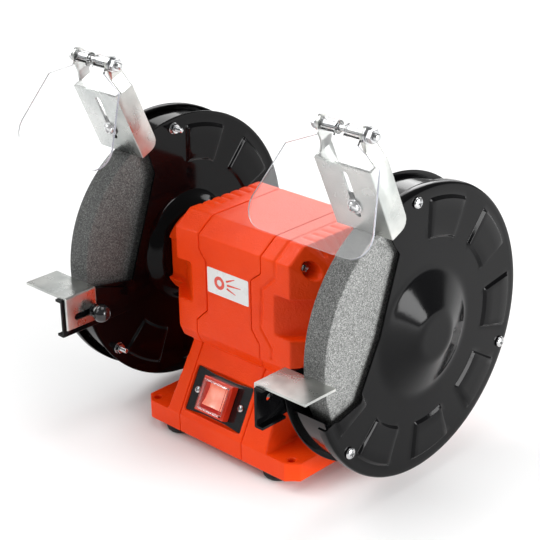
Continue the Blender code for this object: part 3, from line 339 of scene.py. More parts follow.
def round_box(name, size, low, high, corner, steps=5):
    """A flat block about the local middle, with round corners."""
    outline = []
    for turn, (sx, sy) in enumerate(((1, 1), (-1, 1), (-1, -1), (1, -1))):
        for i in range(steps + 1):
            angle = radians(90 * turn + 90 * i / steps)
            x = sx * (size[0] / 2 - corner) + corner * cos(angle)
            y = sy * (size[1] / 2 - corner) + corner * sin(angle)
            outline.append((x, y))
    return prism(name, outline, low, high)


def rounder(bm, centre, cuts):
    """Splits the chords of circles about the shaft's direction, and puts the new points on the circles."""
    chords = []
    radii = set()
    for edge in bm.edges:
        a, b = (v.co for v in edge.verts)
        ra = hypot(a.y - centre.y, a.z - centre.z)
        rb = hypot(b.y - centre.y, b.z - centre.z)
        level = abs(a.x - b.x) < 2 * WELD and abs(ra - rb) < 3 * WELD
        if level and edge.calc_length() < LONGEST_CHORD * ra:
            chords.append(edge)
            radii.add(round(ra, 5))
    made = bmesh.ops.subdivide_edges(bm, edges=chords, cuts=cuts, use_grid_fill=True)
    for vert in made["geom_inner"]:
        if isinstance(vert, bmesh.types.BMVert):
            angle = atan2(vert.co.z - centre.z, vert.co.y - centre.y)
            reach = hypot(vert.co.y - centre.y, vert.co.z - centre.z)
            beyond = [r for r in radii if r > reach - WELD]
            if beyond and min(beyond) - reach < DEEPEST_ARC * min(beyond):
                vert.co.y = centre.y + min(beyond) * cos(angle)
                vert.co.z = centre.z + min(beyond) * sin(angle)


def cad_copy(node, centre=None, cuts=2):
    """A welded copy of a CAD node with its flat faces whole again, and its circles finer."""
    bm = bmesh.new()
    bm.from_mesh(NODES[node].data)
    bmesh.ops.remove_doubles(bm, verts=bm.verts, dist=WELD)
    bmesh.ops.dissolve_limit(bm, angle_limit=FLAT, verts=bm.verts, edges=bm.edges)
    if centre is not None:
        rounder(bm, centre, cuts)
    return bm


def is_bend(edge, shortest, broad):
    """True between two broad faces, and not at the cut edge of a sheet."""
    length = edge.calc_length()
    if len(edge.link_faces) != 2 or length < shortest or edge.calc_face_angle() < radians(50):
        return False
    return all(face.calc_area() / length > broad for face in edge.link_faces)


def bent_sheet(node, outside, inside, cut_edge, shortest=0.012, broad=0.0035, cutter=None):
    """A copy of a CAD sheet part with round bends and slightly broken cut edges."""
    bm = cad_copy(node)
    if cutter is not None:
        flat = cut(from_bmesh(node + "_flat", bm), cutter)
        bm = bmesh.new()
        bm.from_mesh(flat.data)
        bpy.data.objects.remove(flat)
    for convex, radius in ((True, outside), (False, inside)):
        edges = [e for e in bm.edges if is_bend(e, shortest, broad) and e.is_convex == convex]
        if edges:
            bmesh.ops.bevel(bm, geom=edges, offset=radius, segments=4, profile=0.5, affect="EDGES",
                            clamp_overlap=True)
    return bevelled(from_bmesh(node + "_looks", bm), cut_edge, 2, radians(40))


# ---------------------------------------------------------------- material helpers

def tree_of(name, constants):
    """A new material's node tree and shader. The constants are set on the shader's own sockets."""
    made = bpy.data.materials.new(name)
    made.use_nodes = True
    shader = made.node_tree.nodes["Principled BSDF"]
    for socket, value in constants.items():
        shader.inputs[socket].default_value = value
    return made, made.node_tree, shader


def coordinates(tree, stretch=(1, 1, 1)):
    """The object's own coordinates, stretched along its axes."""
    source = tree.nodes.new("ShaderNodeTexCoord").outputs["Object"]
    mapping = tree.nodes.new("ShaderNodeMapping")
    mapping.inputs["Scale"].default_value = stretch
    tree.links.new(source, mapping.inputs["Vector"])
    return mapping.outputs["Vector"]


def noise(tree, scale, detail=3.0, stretch=(1, 1, 1)):
    made = tree.nodes.new("ShaderNodeTexNoise")
    made.inputs["Scale"].default_value = scale
    made.inputs["Detail"].default_value = detail
    tree.links.new(coordinates(tree, stretch), made.inputs["Vector"])
    return made.outputs["Fac"]


def cells(tree, scale, output="Distance"):
    made = tree.nodes.new("ShaderNodeTexVoronoi")
    made.inputs["Scale"].default_value = scale
    tree.links.new(coordinates(tree), made.inputs["Vector"])
    return made.outputs[output]


def ramp(tree, factor, stops):
    """Colour stops of (place, colour)."""
    made = tree.nodes.new("ShaderNodeValToRGB")
    elements = made.color_ramp.elements
    while len(elements) < len(stops):
        elements.new(0.5)
    for element, (place, colour) in zip(elements, stops):
        element.position = place
        element.color = (*colour, 1.0)
    tree.links.new(factor, made.inputs["Fac"])
    return made.outputs["Color"]


def spread(tree, factor, low, high):
    """The factor's middle part spread over a range."""
    made = tree.nodes.new("ShaderNodeMapRange")
    made.inputs["From Min"].default_value = 0.3
    made.inputs["From Max"].default_value = 0.7
    made.inputs["To Min"].default_value = low
    made.inputs["To Max"].default_value = high
    tree.links.new(factor, made.inputs["Value"])
    return made.outputs["Result"]


def bump(tree, shader, *layers):
    """Layers of (height, distance in metres, strength) on the shader's normal."""
    before = None
    for height, distance, strength in layers:
        made = tree.nodes.new("ShaderNodeBump")
        made.inputs["Distance"].default_value = distance
        made.inputs["Strength"].default_value = strength
        tree.links.new(height, made.inputs["Height"])
        if before is not None:
            tree.links.new(before, made.inputs["Normal"])
        before = made.outputs["Normal"]
    tree.links.new(before, shader.inputs["Normal"])


def finish_of(name, colours, cloud, rough, rough_scale, bumps, **constants):
    """A material whose colour drifts between two values, with uneven roughness and layers of bump.

    cloud is the scale of the colour's drift, and bumps are (scale, distance, strength)."""
    made, tree, shader = tree_of(name, constants)
    drift = ramp(tree, noise(tree, cloud, 4.0), ((0.32, colours[0]), (0.68, colours[1])))
    tree.links.new(drift, shader.inputs["Base Color"])
    tree.links.new(spread(tree, noise(tree, rough_scale), *rough), shader.inputs["Roughness"])
    bump(tree, shader, *[(noise(tree, scale), distance, strength) for scale, distance, strength in bumps])
    return made


# ---------------------------------------------------------------- materials

def cast_paint():
    """Orange-red enamel with a fine hammered texture."""
    return finish_of("cast_paint", ((0.90, 0.052, 0.002), (0.97, 0.066, 0.004)), 30, (0.28, 0.40), 160,
                     ((800, 0.00045, 0.8), (300, 0.00040, 0.5)), **{"Specular IOR Level": 0.16})


def black_enamel():
    """Gloss black enamel with a trace of orange peel."""
    return finish_of("black_enamel", ((0.0012, 0.0012, 0.0014), (0.0024, 0.0024, 0.0027)), 14,
                     (0.07, 0.14), 22, ((420, 0.00005, 0.25), (90, 0.00012, 0.15)),
                     **{"Specular IOR Level": 0.12})


def zinc():
    """Bright zinc on rolled steel: cloudy, with fine rolling lines."""
    made, tree, shader = tree_of("zinc_plate", {"Metallic": 1.0})
    colour = ramp(tree, noise(tree, 26, 5.0), ((0.30, (0.34, 0.36, 0.35)), (0.52, (0.50, 0.51, 0.49)),
                                               (0.72, (0.66, 0.66, 0.63))))
    tree.links.new(colour, shader.inputs["Base Color"])
    tree.links.new(spread(tree, noise(tree, 70, 4.0), 0.22, 0.40), shader.inputs["Roughness"])
    bump(tree, shader, (noise(tree, 60, 2.0, (1, 16, 16)), 0.000010, 0.35))
    return made


def bright_steel():
    """Turned or rolled bright fasteners."""
    return finish_of("bright_steel", ((0.44, 0.45, 0.46), (0.64, 0.64, 0.64)), 120, (0.14, 0.28), 500,
                     ((900, 0.00001, 0.3),), Metallic=1.0)


def abrasive(name, scale, shade):
    """Grey grit bonded in a darker matrix, each grain with its own shade."""
    made, tree, shader = tree_of(name, {})
    stops = [(place, (shade * tone, shade * tone * 1.02, shade * tone * 0.99))
             for place, tone in ((0.10, 0.33), (0.38, 0.72), (0.62, 1.0), (0.90, 1.83))]
    grains = ramp(tree, cells(tree, scale, "Color"), stops)
    pores = ramp(tree, noise(tree, 900, 2.0), ((0.34, (0.45, 0.45, 0.45)), (0.48, (1, 1, 1))))
    mix = tree.nodes.new("ShaderNodeMix")
    mix.data_type = "RGBA"
    mix.blend_type = "MULTIPLY"
    mix.inputs["Factor"].default_value = 1.0
    tree.links.new(grains, mix.inputs["A"])
    tree.links.new(pores, mix.inputs["B"])
    tree.links.new(mix.outputs["Result"], shader.inputs["Base Color"])
    tree.links.new(spread(tree, noise(tree, 900), 0.65, 0.95), shader.inputs["Roughness"])
    bump(tree, shader, (cells(tree, scale), 0.00022, 0.5), (noise(tree, 700), 0.0003, 0.3))
    return made


def laminations():
    """Edges of stacked sheets, seen across the shaft."""
    made, tree, shader = tree_of("laminations", {"Metallic": 1.0})
    lines = noise(tree, 30, 2.0, (60, 1, 1))
    tree.links.new(ramp(tree, lines, ((0.35, (0.13, 0.13, 0.135)), (0.65, (0.36, 0.36, 0.37)))),
                   shader.inputs["Base Color"])
    tree.links.new(spread(tree, noise(tree, 300), 0.4, 0.6), shader.inputs["Roughness"])
    bump(tree, shader, (lines, 0.0002, 0.6))
    return made


def winding():
    """Varnished copper wire, wound side by side."""
    made, tree, shader = tree_of("winding", {"Metallic": 0.7, "Coat Weight": 0.5})
    wires = noise(tree, 45, 2.0, (1, 22, 22))
    tree.links.new(ramp(tree, wires, ((0.35, (0.22, 0.06, 0.02)), (0.62, (0.74, 0.32, 0.13)))),
                   shader.inputs["Base Color"])
    tree.links.new(spread(tree, noise(tree, 200), 0.25, 0.45), shader.inputs["Roughness"])
    bump(tree, shader, (wires, 0.0004, 0.7))
    return made


def clear():
    """Clear polycarbonate with the faintest haze."""
    made, tree, shader = tree_of("polycarbonate", {"Transmission Weight": 1.0, "IOR": 1.45})
    tree.links.new(ramp(tree, noise(tree, 40), ((0.3, (0.975, 0.985, 0.99)), (0.7, (0.99, 0.995, 1.0)))),
                   shader.inputs["Base Color"])
    tree.links.new(spread(tree, noise(tree, 90), 0.0, 0.02), shader.inputs["Roughness"])
    bump(tree, shader, (noise(tree, 60), 0.00002, 0.15))
    return made


MATERIALS = {
    "painted_housing": cast_paint(),
    "black_sheet": black_enamel(),
    "zinc": zinc(),
    "steel": bright_steel(),
    "abrasive": abrasive("fine_grit", 1900, 0.18),
    "rubber": finish_of("moulded_rubber", ((0.010, 0.010, 0.010), (0.018, 0.018, 0.018)), 60,
                        (0.62, 0.8), 300, ((1600, 0.0001, 0.5),)),
    "black_plastic": finish_of("moulded_plastic", ((0.006, 0.006, 0.007), (0.010, 0.010, 0.011)), 50,
                               (0.10, 0.2), 120, ((700, 0.00003, 0.25),), **{"Coat Weight": 0.3}),
    "red_plastic": finish_of("red_plastic", ((0.72, 0.035, 0.010), (0.84, 0.050, 0.014)), 60,
                             (0.16, 0.26), 150, ((900, 0.00003, 0.2),), **{"Coat Weight": 0.4}),
    "clear_plastic": clear(),
    "copper": winding(),
    "laminations": laminations(),
    "white_plastic": finish_of("label_white", ((0.84, 0.84, 0.83), (0.90, 0.90, 0.89)), 40,
                               (0.25, 0.35), 90, ((1200, 0.00002, 0.2),)),
}
# The left wheel's coarser grain is its own; its darker tone (0.11 against 0.18) is painted shade for the
# shadow the body casts on it.
COARSE_GRIT_PAINTED_SHADE = abrasive("coarse_grit_painted_shade", 1600, 0.11)
# The rocker's emission is a painted glow and highlight; no lamp lights the switch.
ROCKER_PAINTED_GLOW = finish_of("rocker_painted_glow", ((0.86, 0.20, 0.12), (0.98, 0.42, 0.30)), 90, (0.12, 0.2), 200,
                     ((900, 0.00002, 0.2),), **{"Subsurface Weight": 0.25, "Emission Strength": 0.5,
                                               "Emission Color": (1.0, 0.26, 0.14, 1.0), "Coat Weight": 0.5})
# Painted highlight: a less clear grey finish on the shield's cut edges stands in for the light they catch.
EDGE_PAINTED_HIGHLIGHT = finish_of("polycarbonate_edge_painted_highlight", ((0.26, 0.27, 0.30), (0.40, 0.41, 0.45)), 60,
                       (0.08, 0.2), 400, ((1500, 0.00003, 0.3),),
                       **{"Transmission Weight": 0.20, "IOR": 1.45})


def stands_for(piece, *nodes, material=None):
    """Gives the piece its node's finish, lets it ride on that node's body and hides the node."""
    slot = SLOT_OF[nodes[0]]
    if material is None:
        material = MATERIALS[slot]
    if not piece.data.materials:
        piece.data.materials.append(material)
    else:
        piece.data.materials[0] = material
    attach(piece, BODY_OF[nodes[0]])
    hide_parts(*nodes)
    return piece


def added(piece, body, slot, material=None):
    """A detail with no CAD node of its own."""
    piece.data.materials.clear()
    piece.data.materials.append(material or MATERIALS[slot])
    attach(piece, body)
    return piece


# ---------------------------------------------------------------- fasteners

def recess(size, depth):
    """A Phillips recess, as a cutter about Z with its mouth at height 0."""
    half = size / 2
    wide = size * 0.14
    tip = half * 0.35
    outline = [(-half, OVERCUT), (-half, 0), (-tip, -depth), (tip, -depth), (half, 0), (half, OVERCUT)]
    upright = Matrix.Rotation(radians(90), 4, "X")
    arms = []
    for turn in (0, 90):
        arm = prism("recess", outline, -wide, wide)
        arms.append(placed(arm, Matrix.Rotation(radians(turn), 4, "Z") @ upright))
    return arms


def pan_head(radius, height):
    """A domed Phillips head that stands on Z = 0."""
    skirt = 0.12
    profile = [(0, 0), (radius * 0.93, 0), (radius, height * skirt)]
    for angle in (18, 36, 54, 72):
        turn = radians(angle)
        profile.append((radius * cos(turn) ** 0.7, height * (skirt + (1 - skirt) * sin(turn))))
    profile.append((0, height))
    head = lathe("pan_head", profile, 32)
    for cutter in recess(radius * 1.25, height * 0.62):
        cut(head, placed(cutter, Matrix.Translation((0, 0, height))))
    return smooth(head, radians(30))


def hexagon(flats, height):
    """A chamfered hexagon nut body on Z = 0."""
    corner = flats / 3 ** 0.5
    chamfer = (corner - flats / 2) * 0.55
    end = (0.86, 0.86)                       # reach of the even and the odd points, of the corner's
    body = (1.0, cos(radians(30)))
    bm = bmesh.new()
    rings = []
    for level, reaches in ((0, end), (chamfer, body), (height - chamfer, body), (height, end)):
        ring = []
        for i in range(12):
            reach = corner * reaches[i % 2]
            angle = radians(30 * i)
            ring.append(bm.verts.new((reach * cos(angle), reach * sin(angle), level)))
        rings.append(ring)
    return smooth(skinned("hexagon", bm, rings), radians(20))


def washer(radius, bore, height):
    """A flat ring on Z = 0 with broken edges."""
    edge = 0.0002
    profile = [(bore, 0), (radius - edge, 0), (radius, edge), (radius, height - edge),
               (radius - edge, height), (bore, height)]
    return smooth(lathe("washer", profile, 32), radians(30))


def thread(radius, length, pitch=0.0007):
    """A threaded end on Z = 0, as rings, with a chamfered tip."""
    root = radius * 0.86
    profile = [(0, 0)]
    turns = max(2, int(length / pitch))
    for i in range(turns):
        z = length * i / turns
        profile.append((root, z))
        profile.append((radius, z + pitch * 0.5))
    profile += [(root, length - 0.0001), (radius * 0.7, length), (0, length)]
    return smooth(lathe("thread", profile, 20), radians(60))


# ---------------------------------------------------------------- castings

def groove_cutter():
    """A shallow V groove down the right-hand casting's front."""
    bm = bmesh.new()
    points = [Vector((x, 0, z)) for x, z in GROOVE]
    loops = []
    for i, point in enumerate(points):
        before = points[max(i - 1, 0)]
        after = points[min(i + 1, len(points) - 1)]
        run = (after - before).normalized()
        across = Vector((run.z, 0, -run.x)) * GROOVE_WIDTH
        loops.append([(point + across, -OVERCUT), (point - across, -OVERCUT), (point, GROOVE_DEPTH)])
    rings = [[bm.verts.new((p.x, BODY_FRONT + depth, p.z + SHAFT_Z)) for p, depth in loop] for loop in loops]
    return skinned("groove", bm, rings)


def top_groove_cutter():
    """The same groove straight back over the chamfers and the top."""
    x = GROOVE[0][0]
    bm = bmesh.new()
    rings = []
    for y, z in TOP_PATH:
        point = Vector((0, y, z))
        out = point.normalized()
        above = point + out * 0.0012
        below = point - out * GROOVE_DEPTH * 1.15
        spots = ((x - GROOVE_WIDTH, above), (x + GROOVE_WIDTH, above), (x, below))
        rings.append([bm.verts.new((across, spot.y, spot.z + SHAFT_Z)) for across, spot in spots])
    return skinned("top_groove", bm, rings)


def casting(node, *cutters):
    """A CAD casting with the soft edges and fillets that a sand casting has under its paint."""
    thing = from_bmesh(node + "_looks", cad_copy(node))
    if cutters:
        cut(thing, *cutters)
    bm = bmesh.new()
    bm.from_mesh(thing.data)
    rounder(bm, Vector((0, 0, SHAFT_Z)), 1)
    bm.to_mesh(thing.data)
    bm.free()
    remesh = thing.modifiers.new("remesh", "REMESH")
    remesh.mode = "VOXEL"
    remesh.voxel_size = VOXEL
    soften = thing.modifiers.new("soften", "SMOOTH")
    soften.factor = 0.5
    soften.iterations = 4
    fewer = thing.modifiers.new("fewer", "DECIMATE")
    fewer.ratio = 0.30
    baked(thing)
    smooth(thing, radians(75))
    stands_for(thing, node)


def castings():
    casting("left_housing")
    casting("centre_housing")
    casting("right_housing", groove_cutter(), top_groove_cutter())


def bell_screws():
    """The heads of the housing's long bolts, at the bottom of the counterbores."""
    template = pan_head(*BELL_HEAD)
    ring = washer(*BELL_WASHER)
    for side, label in SIDES.items():
        heads = []
        for depth, z in BELL_SCREWS:
            for y in (depth, -depth):
                seat = along((side, 0, 0), (side * (BELL_SHOULDER + 0.0002), y, z + SHAFT_Z))
                heads.append(copied(ring, seat))
                heads.append(copied(template, seat @ raised(BELL_WASHER[2])))
        added(joined("bell_screws_" + label, heads), "frame", "steel")
    bpy.data.objects.remove(template)
    bpy.data.objects.remove(ring)


def label_plate():
    """A white sticker with a plain sign of a wheel and sparks."""
    (x0, z0), (x1, z1) = LABEL
    front = min(v.co.y for v in NODES["centre_housing"].data.vertices if v.co.z > SHAFT_Z)
    spot = Matrix.Translation(((x0 + x1) / 2, front, (z0 + z1) / 2 + SHAFT_Z))
    middle = spot @ Matrix.Rotation(pi / 2, 4, "X")
    plate = round_box("label_plate", (x1 - x0, z1 - z0), *LABEL_SHEET, 0.0012)
    added(smooth(placed(plate, middle)), "frame", "white_plastic")
    bore, rim = MARK_RING
    low, high = MARK_SHEET
    hub = Matrix.Translation((MARK_MIDDLE, 0, 0))
    marks = [placed(lathe("wheel_mark", [(bore, low), (rim, low), (rim, high), (bore, high)], 40), hub)]
    for angle, reach in SPARKS:
        outline = [(SPARK_START, -0.0009), (reach, -0.0003), (reach, 0.0003), (SPARK_START, 0.0009)]
        turn = hub @ Matrix.Rotation(radians(angle), 4, "Z")
        marks.append(placed(prism("spark", outline, low, high), turn))
    mark = joined("label_mark", marks)
    added(smooth(placed(mark, middle)), "frame", "red_plastic")


# ---------------------------------------------------------------- base

def base_parts():
    """The bottom plate with its screws, and the rubber feet."""
    plate = bevelled(from_bmesh("bottom_plate_looks", cad_copy("bottom_plate")), 0.0003)
    stands_for(plate, "bottom_plate")
    low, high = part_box("bottom_plate")
    head = pan_head(*PLATE_HEAD)
    screws = []
    for x in (low.x + PLATE_INSET, high.x - PLATE_INSET):
        for y in (low.y + PLATE_INSET, high.y - PLATE_INSET):
            screws.append(copied(head, along((0, 0, -1), (x, y, low.z + PLATE_SINK))))
    bpy.data.objects.remove(head)
    added(joined("plate_screws", screws), "frame", "steel")
    for end in ("front", "rear"):
        for label in SIDES.values():
            foot("foot_%s_%s" % (end, label))


def foot(node):
    """A rubber foot with a hollow sole and a groove round it, its stem in the base."""
    low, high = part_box(node)
    radius = (high.x - low.x) / 2
    profile = [(0, 0.0022), (0.0042, 0.0022), (0.0048, 0.0002)]
    profile += [(radius - inset, height) for inset, height in FOOT_SIDE]
    profile += [(radius - FOOT_BREAK, -low.z), (FOOT_STEM, -low.z), (FOOT_STEM, high.z - low.z),
                (0, high.z - low.z)]
    made = lathe(node + "_looks", profile, 40)
    centre = ((low.x + high.x) / 2, (low.y + high.y) / 2, low.z)
    stands_for(smooth(placed(made, Matrix.Translation(centre))), node)


# ---------------------------------------------------------------- wheels and shaft

def wheel(side):
    """A straight wheel with slightly worn corners; the left one has the coarser grit, and its darker tone is
    painted shade.
    """
    node = "wheel_" + SIDES[side]
    half = (WHEEL_HIGH.x - WHEEL_LOW.x) / 2
    worn = WHEEL_SOFT * 0.3
    outer = [(WHEEL_BORE, half), (WHEEL_BORE + 0.020, half), (WHEEL_RADIUS * 0.6, half),
             (WHEEL_RADIUS - 0.004, half), (WHEEL_RADIUS - WHEEL_SOFT, half),
             (WHEEL_RADIUS - worn, half - worn), (WHEEL_RADIUS, half - WHEEL_SOFT)]
    profile = [(radius, -reach) for radius, reach in outer] + [(WHEEL_RADIUS, 0)] + outer[::-1]
    made = lathe(node + "_looks", profile, 144)
    placed(made, along((side, 0, 0), (side * WHEEL_CENTRE, 0, SHAFT_Z)))
    stands_for(smooth(made, radians(60)), node, material=COARSE_GRIT_PAINTED_SHADE if side < 0 else None)


def hub_parts(side):
    """The flanges and the nut that hold the wheel."""
    label = SIDES[side]
    centre = Vector((0, 0, SHAFT_Z))
    for part in ("inner_flange_", "outer_flange_"):
        thing = from_bmesh(part + label + "_looks", cad_copy(part + label, centre, 2))
        stands_for(bevelled(thing, 0.0004), part + label)
    low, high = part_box("wheel_nut_" + label)
    near = low.x if side > 0 else high.x
    thick = high.x - low.x
    seat = along((side, 0, 0), (near, 0, SHAFT_Z))
    nut = hexagon(WHEEL_NUT_FLATS, thick)
    cut(nut, rod(WHEEL_NUT_BORE, -OVERCUT, thick + OVERCUT, 32))
    nut.name = "wheel_nut_%s_looks" % label
    stands_for(smooth(placed(nut, seat), radians(20)), "wheel_nut_" + label)


# ---------------------------------------------------------------- guards

def pad_lines(count):
    """Angles of a pressed sheet's lines, with each pad's start, end and walls among them."""
    lines = set()
    wall = PAD_WALL / PAD_OUTER * 180 / pi
    for index in range(count):
        middle = PAD_FIRST - index * PAD_PITCH
        for offset in (-PAD_WIDTH / 2 - wall, -PAD_WIDTH / 2, PAD_WIDTH / 2, PAD_WIDTH / 2 + wall):
            lines.add(round((middle + offset) % 360, 4))
    edges = sorted(lines)
    angles = []
    for start, end in zip(edges, edges[1:] + [edges[0] + 360]):
        parts = max(1, round((end - start) / RING_STEP))
        angles += [start + (end - start) * i / parts for i in range(parts)]
    return angles


def pad_height(radius, angle, count):
    """1 on a pad, 0 off it."""
    if not PAD_INNER - WELD <= radius <= PAD_OUTER + WELD:
        return 0
    for index in range(count):
        middle = PAD_FIRST - index * PAD_PITCH
        away = abs((angle - middle + 180) % 360 - 180)
        if away <= PAD_WIDTH / 2 + 0.01:
            return 1
    return 0


def swell(share):
    """A smooth step from 0 to 1."""
    share = min(1.0, max(0.0, share))
    return share * share * (3 - 2 * share)


def cone(share, soft):
    """A step from 1 down to 0 with a straight flank and round ends."""
    share = min(1.0, max(0.0, share))
    slope = 1 / (1 - soft)
    if share < soft:
        return 1 - slope * share * share / (2 * soft)
    if share > 1 - soft:
        return slope * (1 - share) ** 2 / (2 * soft)
    return 1 - slope * (share - soft / 2)


def cover_radii(start):
    """Stations from the middle to the pads' outer side."""
    dome = [start + (DOME_FOOT + 0.004 - start) * i / DOME_STATIONS for i in range(DOME_STATIONS + 1)]
    flat = [0.062, 0.068, PAD_INNER - PAD_WALL, PAD_INNER, (PAD_INNER * 2 + PAD_OUTER) / 3,
            (PAD_INNER + PAD_OUTER * 2) / 3, PAD_OUTER, PAD_OUTER + PAD_WALL]
    return dome + flat


def pressed_cover(name, profile, count, lift, side):
    """A sheet pressed from stations of (radius, reach along the shaft). lift is the pads' rise."""
    angles = pad_lines(count)
    bm = bmesh.new()
    layers = []
    for depth in (0.0, SHEET):
        rings = []
        for i, (radius, reach) in enumerate(profile):
            before = profile[max(i - 1, 0)]
            after = profile[min(i + 1, len(profile) - 1)]
            run = Vector((after[0] - before[0], after[1] - before[1])).normalized()
            inward = Vector((run.y, -run.x)) * depth
            r = radius + inward.x
            x = reach + inward.y
            if radius < WELD:
                rings.append([bm.verts.new((side * x, 0, SHAFT_Z))])
                continue
            ring = []
            for angle in angles:
                raised = x + lift * pad_height(radius, angle, count)
                y, z = r * cos(radians(angle)), r * sin(radians(angle))
                ring.append(bm.verts.new((side * raised, y, z + SHAFT_Z)))
            rings.append(ring)
        layers.append(rings)
    total = len(angles)
    for rings in layers:
        for low, high in zip(rings, rings[1:]):
            for i in range(total):
                j = (i + 1) % total
                corners = [low[i % len(low)], low[j % len(low)], high[j], high[i]]
                bm.faces.new(dict.fromkeys(corners))
    for end in (0, -1):
        near, far = layers[0][end], layers[1][end]
        if len(near) > 1:
            for i in range(total):
                j = (i + 1) % total
                bm.faces.new((near[i], near[j], far[j], far[i]))
    return from_bmesh(name, bm)


def mouth_cutter(points, side, low, high):
    """The front opening of a cover, along the shaft."""
    far = -GUARD_RADIUS * 1.5
    outline = list(points) + [(far, points[-1][1]), (far, points[0][1])]
    made = prism("mouth", outline, *sorted((side * low, side * high)))
    across = Matrix(((0, 0, 1, 0), (1, 0, 0, 0), (0, 1, 0, SHAFT_Z), (0, 0, 0, 1)))
    return placed(made, across)


def guard_covers(side):
    """The outer and inner covers and the band between them."""
    outer_cover(side)
    inner_cover(side)
    label = SIDES[side]
    cad_band = cad_copy("guard_band_" + label, Vector((0, 0, SHAFT_Z)), 3)
    band = from_bmesh("guard_band_%s_looks" % label, cad_band)
    stands_for(bevelled(band, 0.0003, 2, radians(40)), "guard_band_" + label)


def outer_cover(side):
    label = SIDES[side]
    low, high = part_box("guard_outer_" + label)
    crown = max(abs(low.x), abs(high.x))
    face = crown - DOME_RISE
    profile = []
    flank = DOME_FOOT - DOME_TOP
    for radius in cover_radii(0.0):
        rise = DOME_RISE * cone((radius - DOME_TOP) / flank, DOME_ROUND / flank)
        profile.append((radius, face + rise))
    profile.append((GUARD_RADIUS - RIM_BEND - RIM_FLAT, face))
    for turn in (radians(90), radians(60), radians(30), 0):
        across = GUARD_RADIUS - RIM_BEND + RIM_BEND * cos(turn)
        profile.append((across, face - RIM_BEND + RIM_BEND * sin(turn)))
    profile.append((GUARD_RADIUS, face - RIM_DEPTH))
    outer = pressed_cover("guard_outer_%s_looks" % label, profile, 7, PAD_RISE, side)
    bevelled(outer, *COVER_EDGE)
    edge = [(y * GUARD_RADIUS, z * GUARD_RADIUS) for y, z in OUTER_MOUTH]
    cut(outer, mouth_cutter(edge, side, WHEEL_CENTRE, crown + MOUTH_MARGIN))
    stands_for(smooth(outer, radians(32)), "guard_outer_" + label)


def inner_cover(side):
    label = SIDES[side]
    low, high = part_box("guard_inner_" + label)
    far = max(abs(low.x), abs(high.x))
    bottom = min(abs(low.x), abs(high.x))
    near = far - SHEET
    rise = near - bottom
    profile = []
    for radius in cover_radii(INNER_BORE):
        sink = rise * (1 - swell((radius - INNER_TOP) / (INNER_FOOT - INNER_TOP)))
        profile.append((radius, near - sink))
    profile += [(GUARD_RADIUS - RIM_FLAT, near), (GUARD_RADIUS, near)]
    mirrored = [(radius, -reach) for radius, reach in profile]
    inner = pressed_cover("guard_inner_%s_looks" % label, mirrored, 6, PAD_RISE, -side)
    bevelled(inner, *COVER_EDGE)
    edge = [(y * GUARD_RADIUS, z * GUARD_RADIUS) for y, z in INNER_MOUTH]
    edge += [(y * GUARD_RADIUS, z) for y, z in INNER_LIP]
    cut(inner, mouth_cutter(edge, side, bottom - MOUTH_MARGIN, far + MOUTH_MARGIN))
    stands_for(smooth(inner, radians(32)), "guard_inner_" + label)


def guard_bolts(side):
    """Domed Phillips screws through the guard, with a washer, nut and thread end on the motor's side."""
    label = SIDES[side]
    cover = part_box("guard_inner_" + label)
    sheet = max(abs(cover[0].x), abs(cover[1].x)) - SHEET
    for number in (1, 2, 3):
        node = "guard_bolt_%s_%d" % (label, number)
        low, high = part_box(node)
        y, z = (low.y + high.y) / 2, (low.z + high.z) / 2
        ends = sorted((abs(low.x), abs(high.x)))
        head_seat = ends[1] - GUARD_HEAD[1]
        seat = along((-side, 0, 0), (side * sheet, y, z))
        tail = thread(GUARD_SHANK, sheet - ends[0] - GUARD_THREAD)
        shank = rod(GUARD_SHANK, 0, head_seat - sheet, 16)
        parts = [placed(pan_head(*GUARD_HEAD), along((side, 0, 0), (side * head_seat, y, z))),
                 placed(washer(*GUARD_WASHER), seat),
                 placed(hexagon(*GUARD_NUT), seat @ raised(GUARD_WASHER[2])),
                 placed(tail, seat @ raised(GUARD_THREAD)),
                 placed(smooth(shank), along((side, 0, 0), (side * sheet, y, z)))]
        stands_for(joined(node + "_looks", parts), node, material=MATERIALS["steel"])


# ---------------------------------------------------------------- brackets, shields and rests

def shield_parts(side):
    """The bracket with its bolts, and the eye shield on them."""
    label = SIDES[side]
    bracket = bent_sheet("shield_bracket_" + label, 0.0022, 0.0007, BEND_EDGE, cutter=ear_rounder(side))
    stands_for(bracket, "shield_bracket_" + label)
    shield = from_bmesh("eye_shield_%s_looks" % label, shield_copy(label))
    bevelled(shield, 0.00035, 2, radians(35))
    edge_faces(shield, label)
    stands_for(shield, "eye_shield_" + label)
    hinge(side)
    arrestor_bolt(side)


def ear_rounder(side):
    """A cutter that leaves the bracket's ears half round above the hinge."""
    low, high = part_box("hinge_nut_" + SIDES[side])
    half, top = EAR_CUT
    outline = [(half, 0), (half, top), (-half, top), (-half, 0)]
    turns = [radians(angle) for angle in range(0, 181, 15)]
    outline += [(-EAR_RADIUS * cos(turn), EAR_RADIUS * sin(turn)) for turn in turns]
    made = prism("ears", outline, -BRACKET_HALF, BRACKET_HALF)
    across = Matrix(((0, 0, 1, 0), (1, 0, 0, 0), (0, 1, 0, 0), (0, 0, 0, 1)))
    hinge_place = Matrix.Translation((side * WHEEL_CENTRE, (low.y + high.y) / 2, (low.z + high.z) / 2))
    return placed(made, hinge_place @ Matrix.Rotation(BRACKET_LEAN, 4, "X") @ across)


def shield_copy(label):
    """The shield, its sleeve round the hinge made finer."""
    low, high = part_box("hinge_nut_" + label)
    centre = Vector((0, (low.y + high.y) / 2, (low.z + high.z) / 2))
    return cad_copy("eye_shield_" + label, centre, 2)


def broad_normal(mesh):
    """The normal of a sheet's largest face, towards the front."""
    normal = max(mesh.polygons, key=lambda face: face.area).normal.copy()
    return -normal if normal.y > 0 else normal


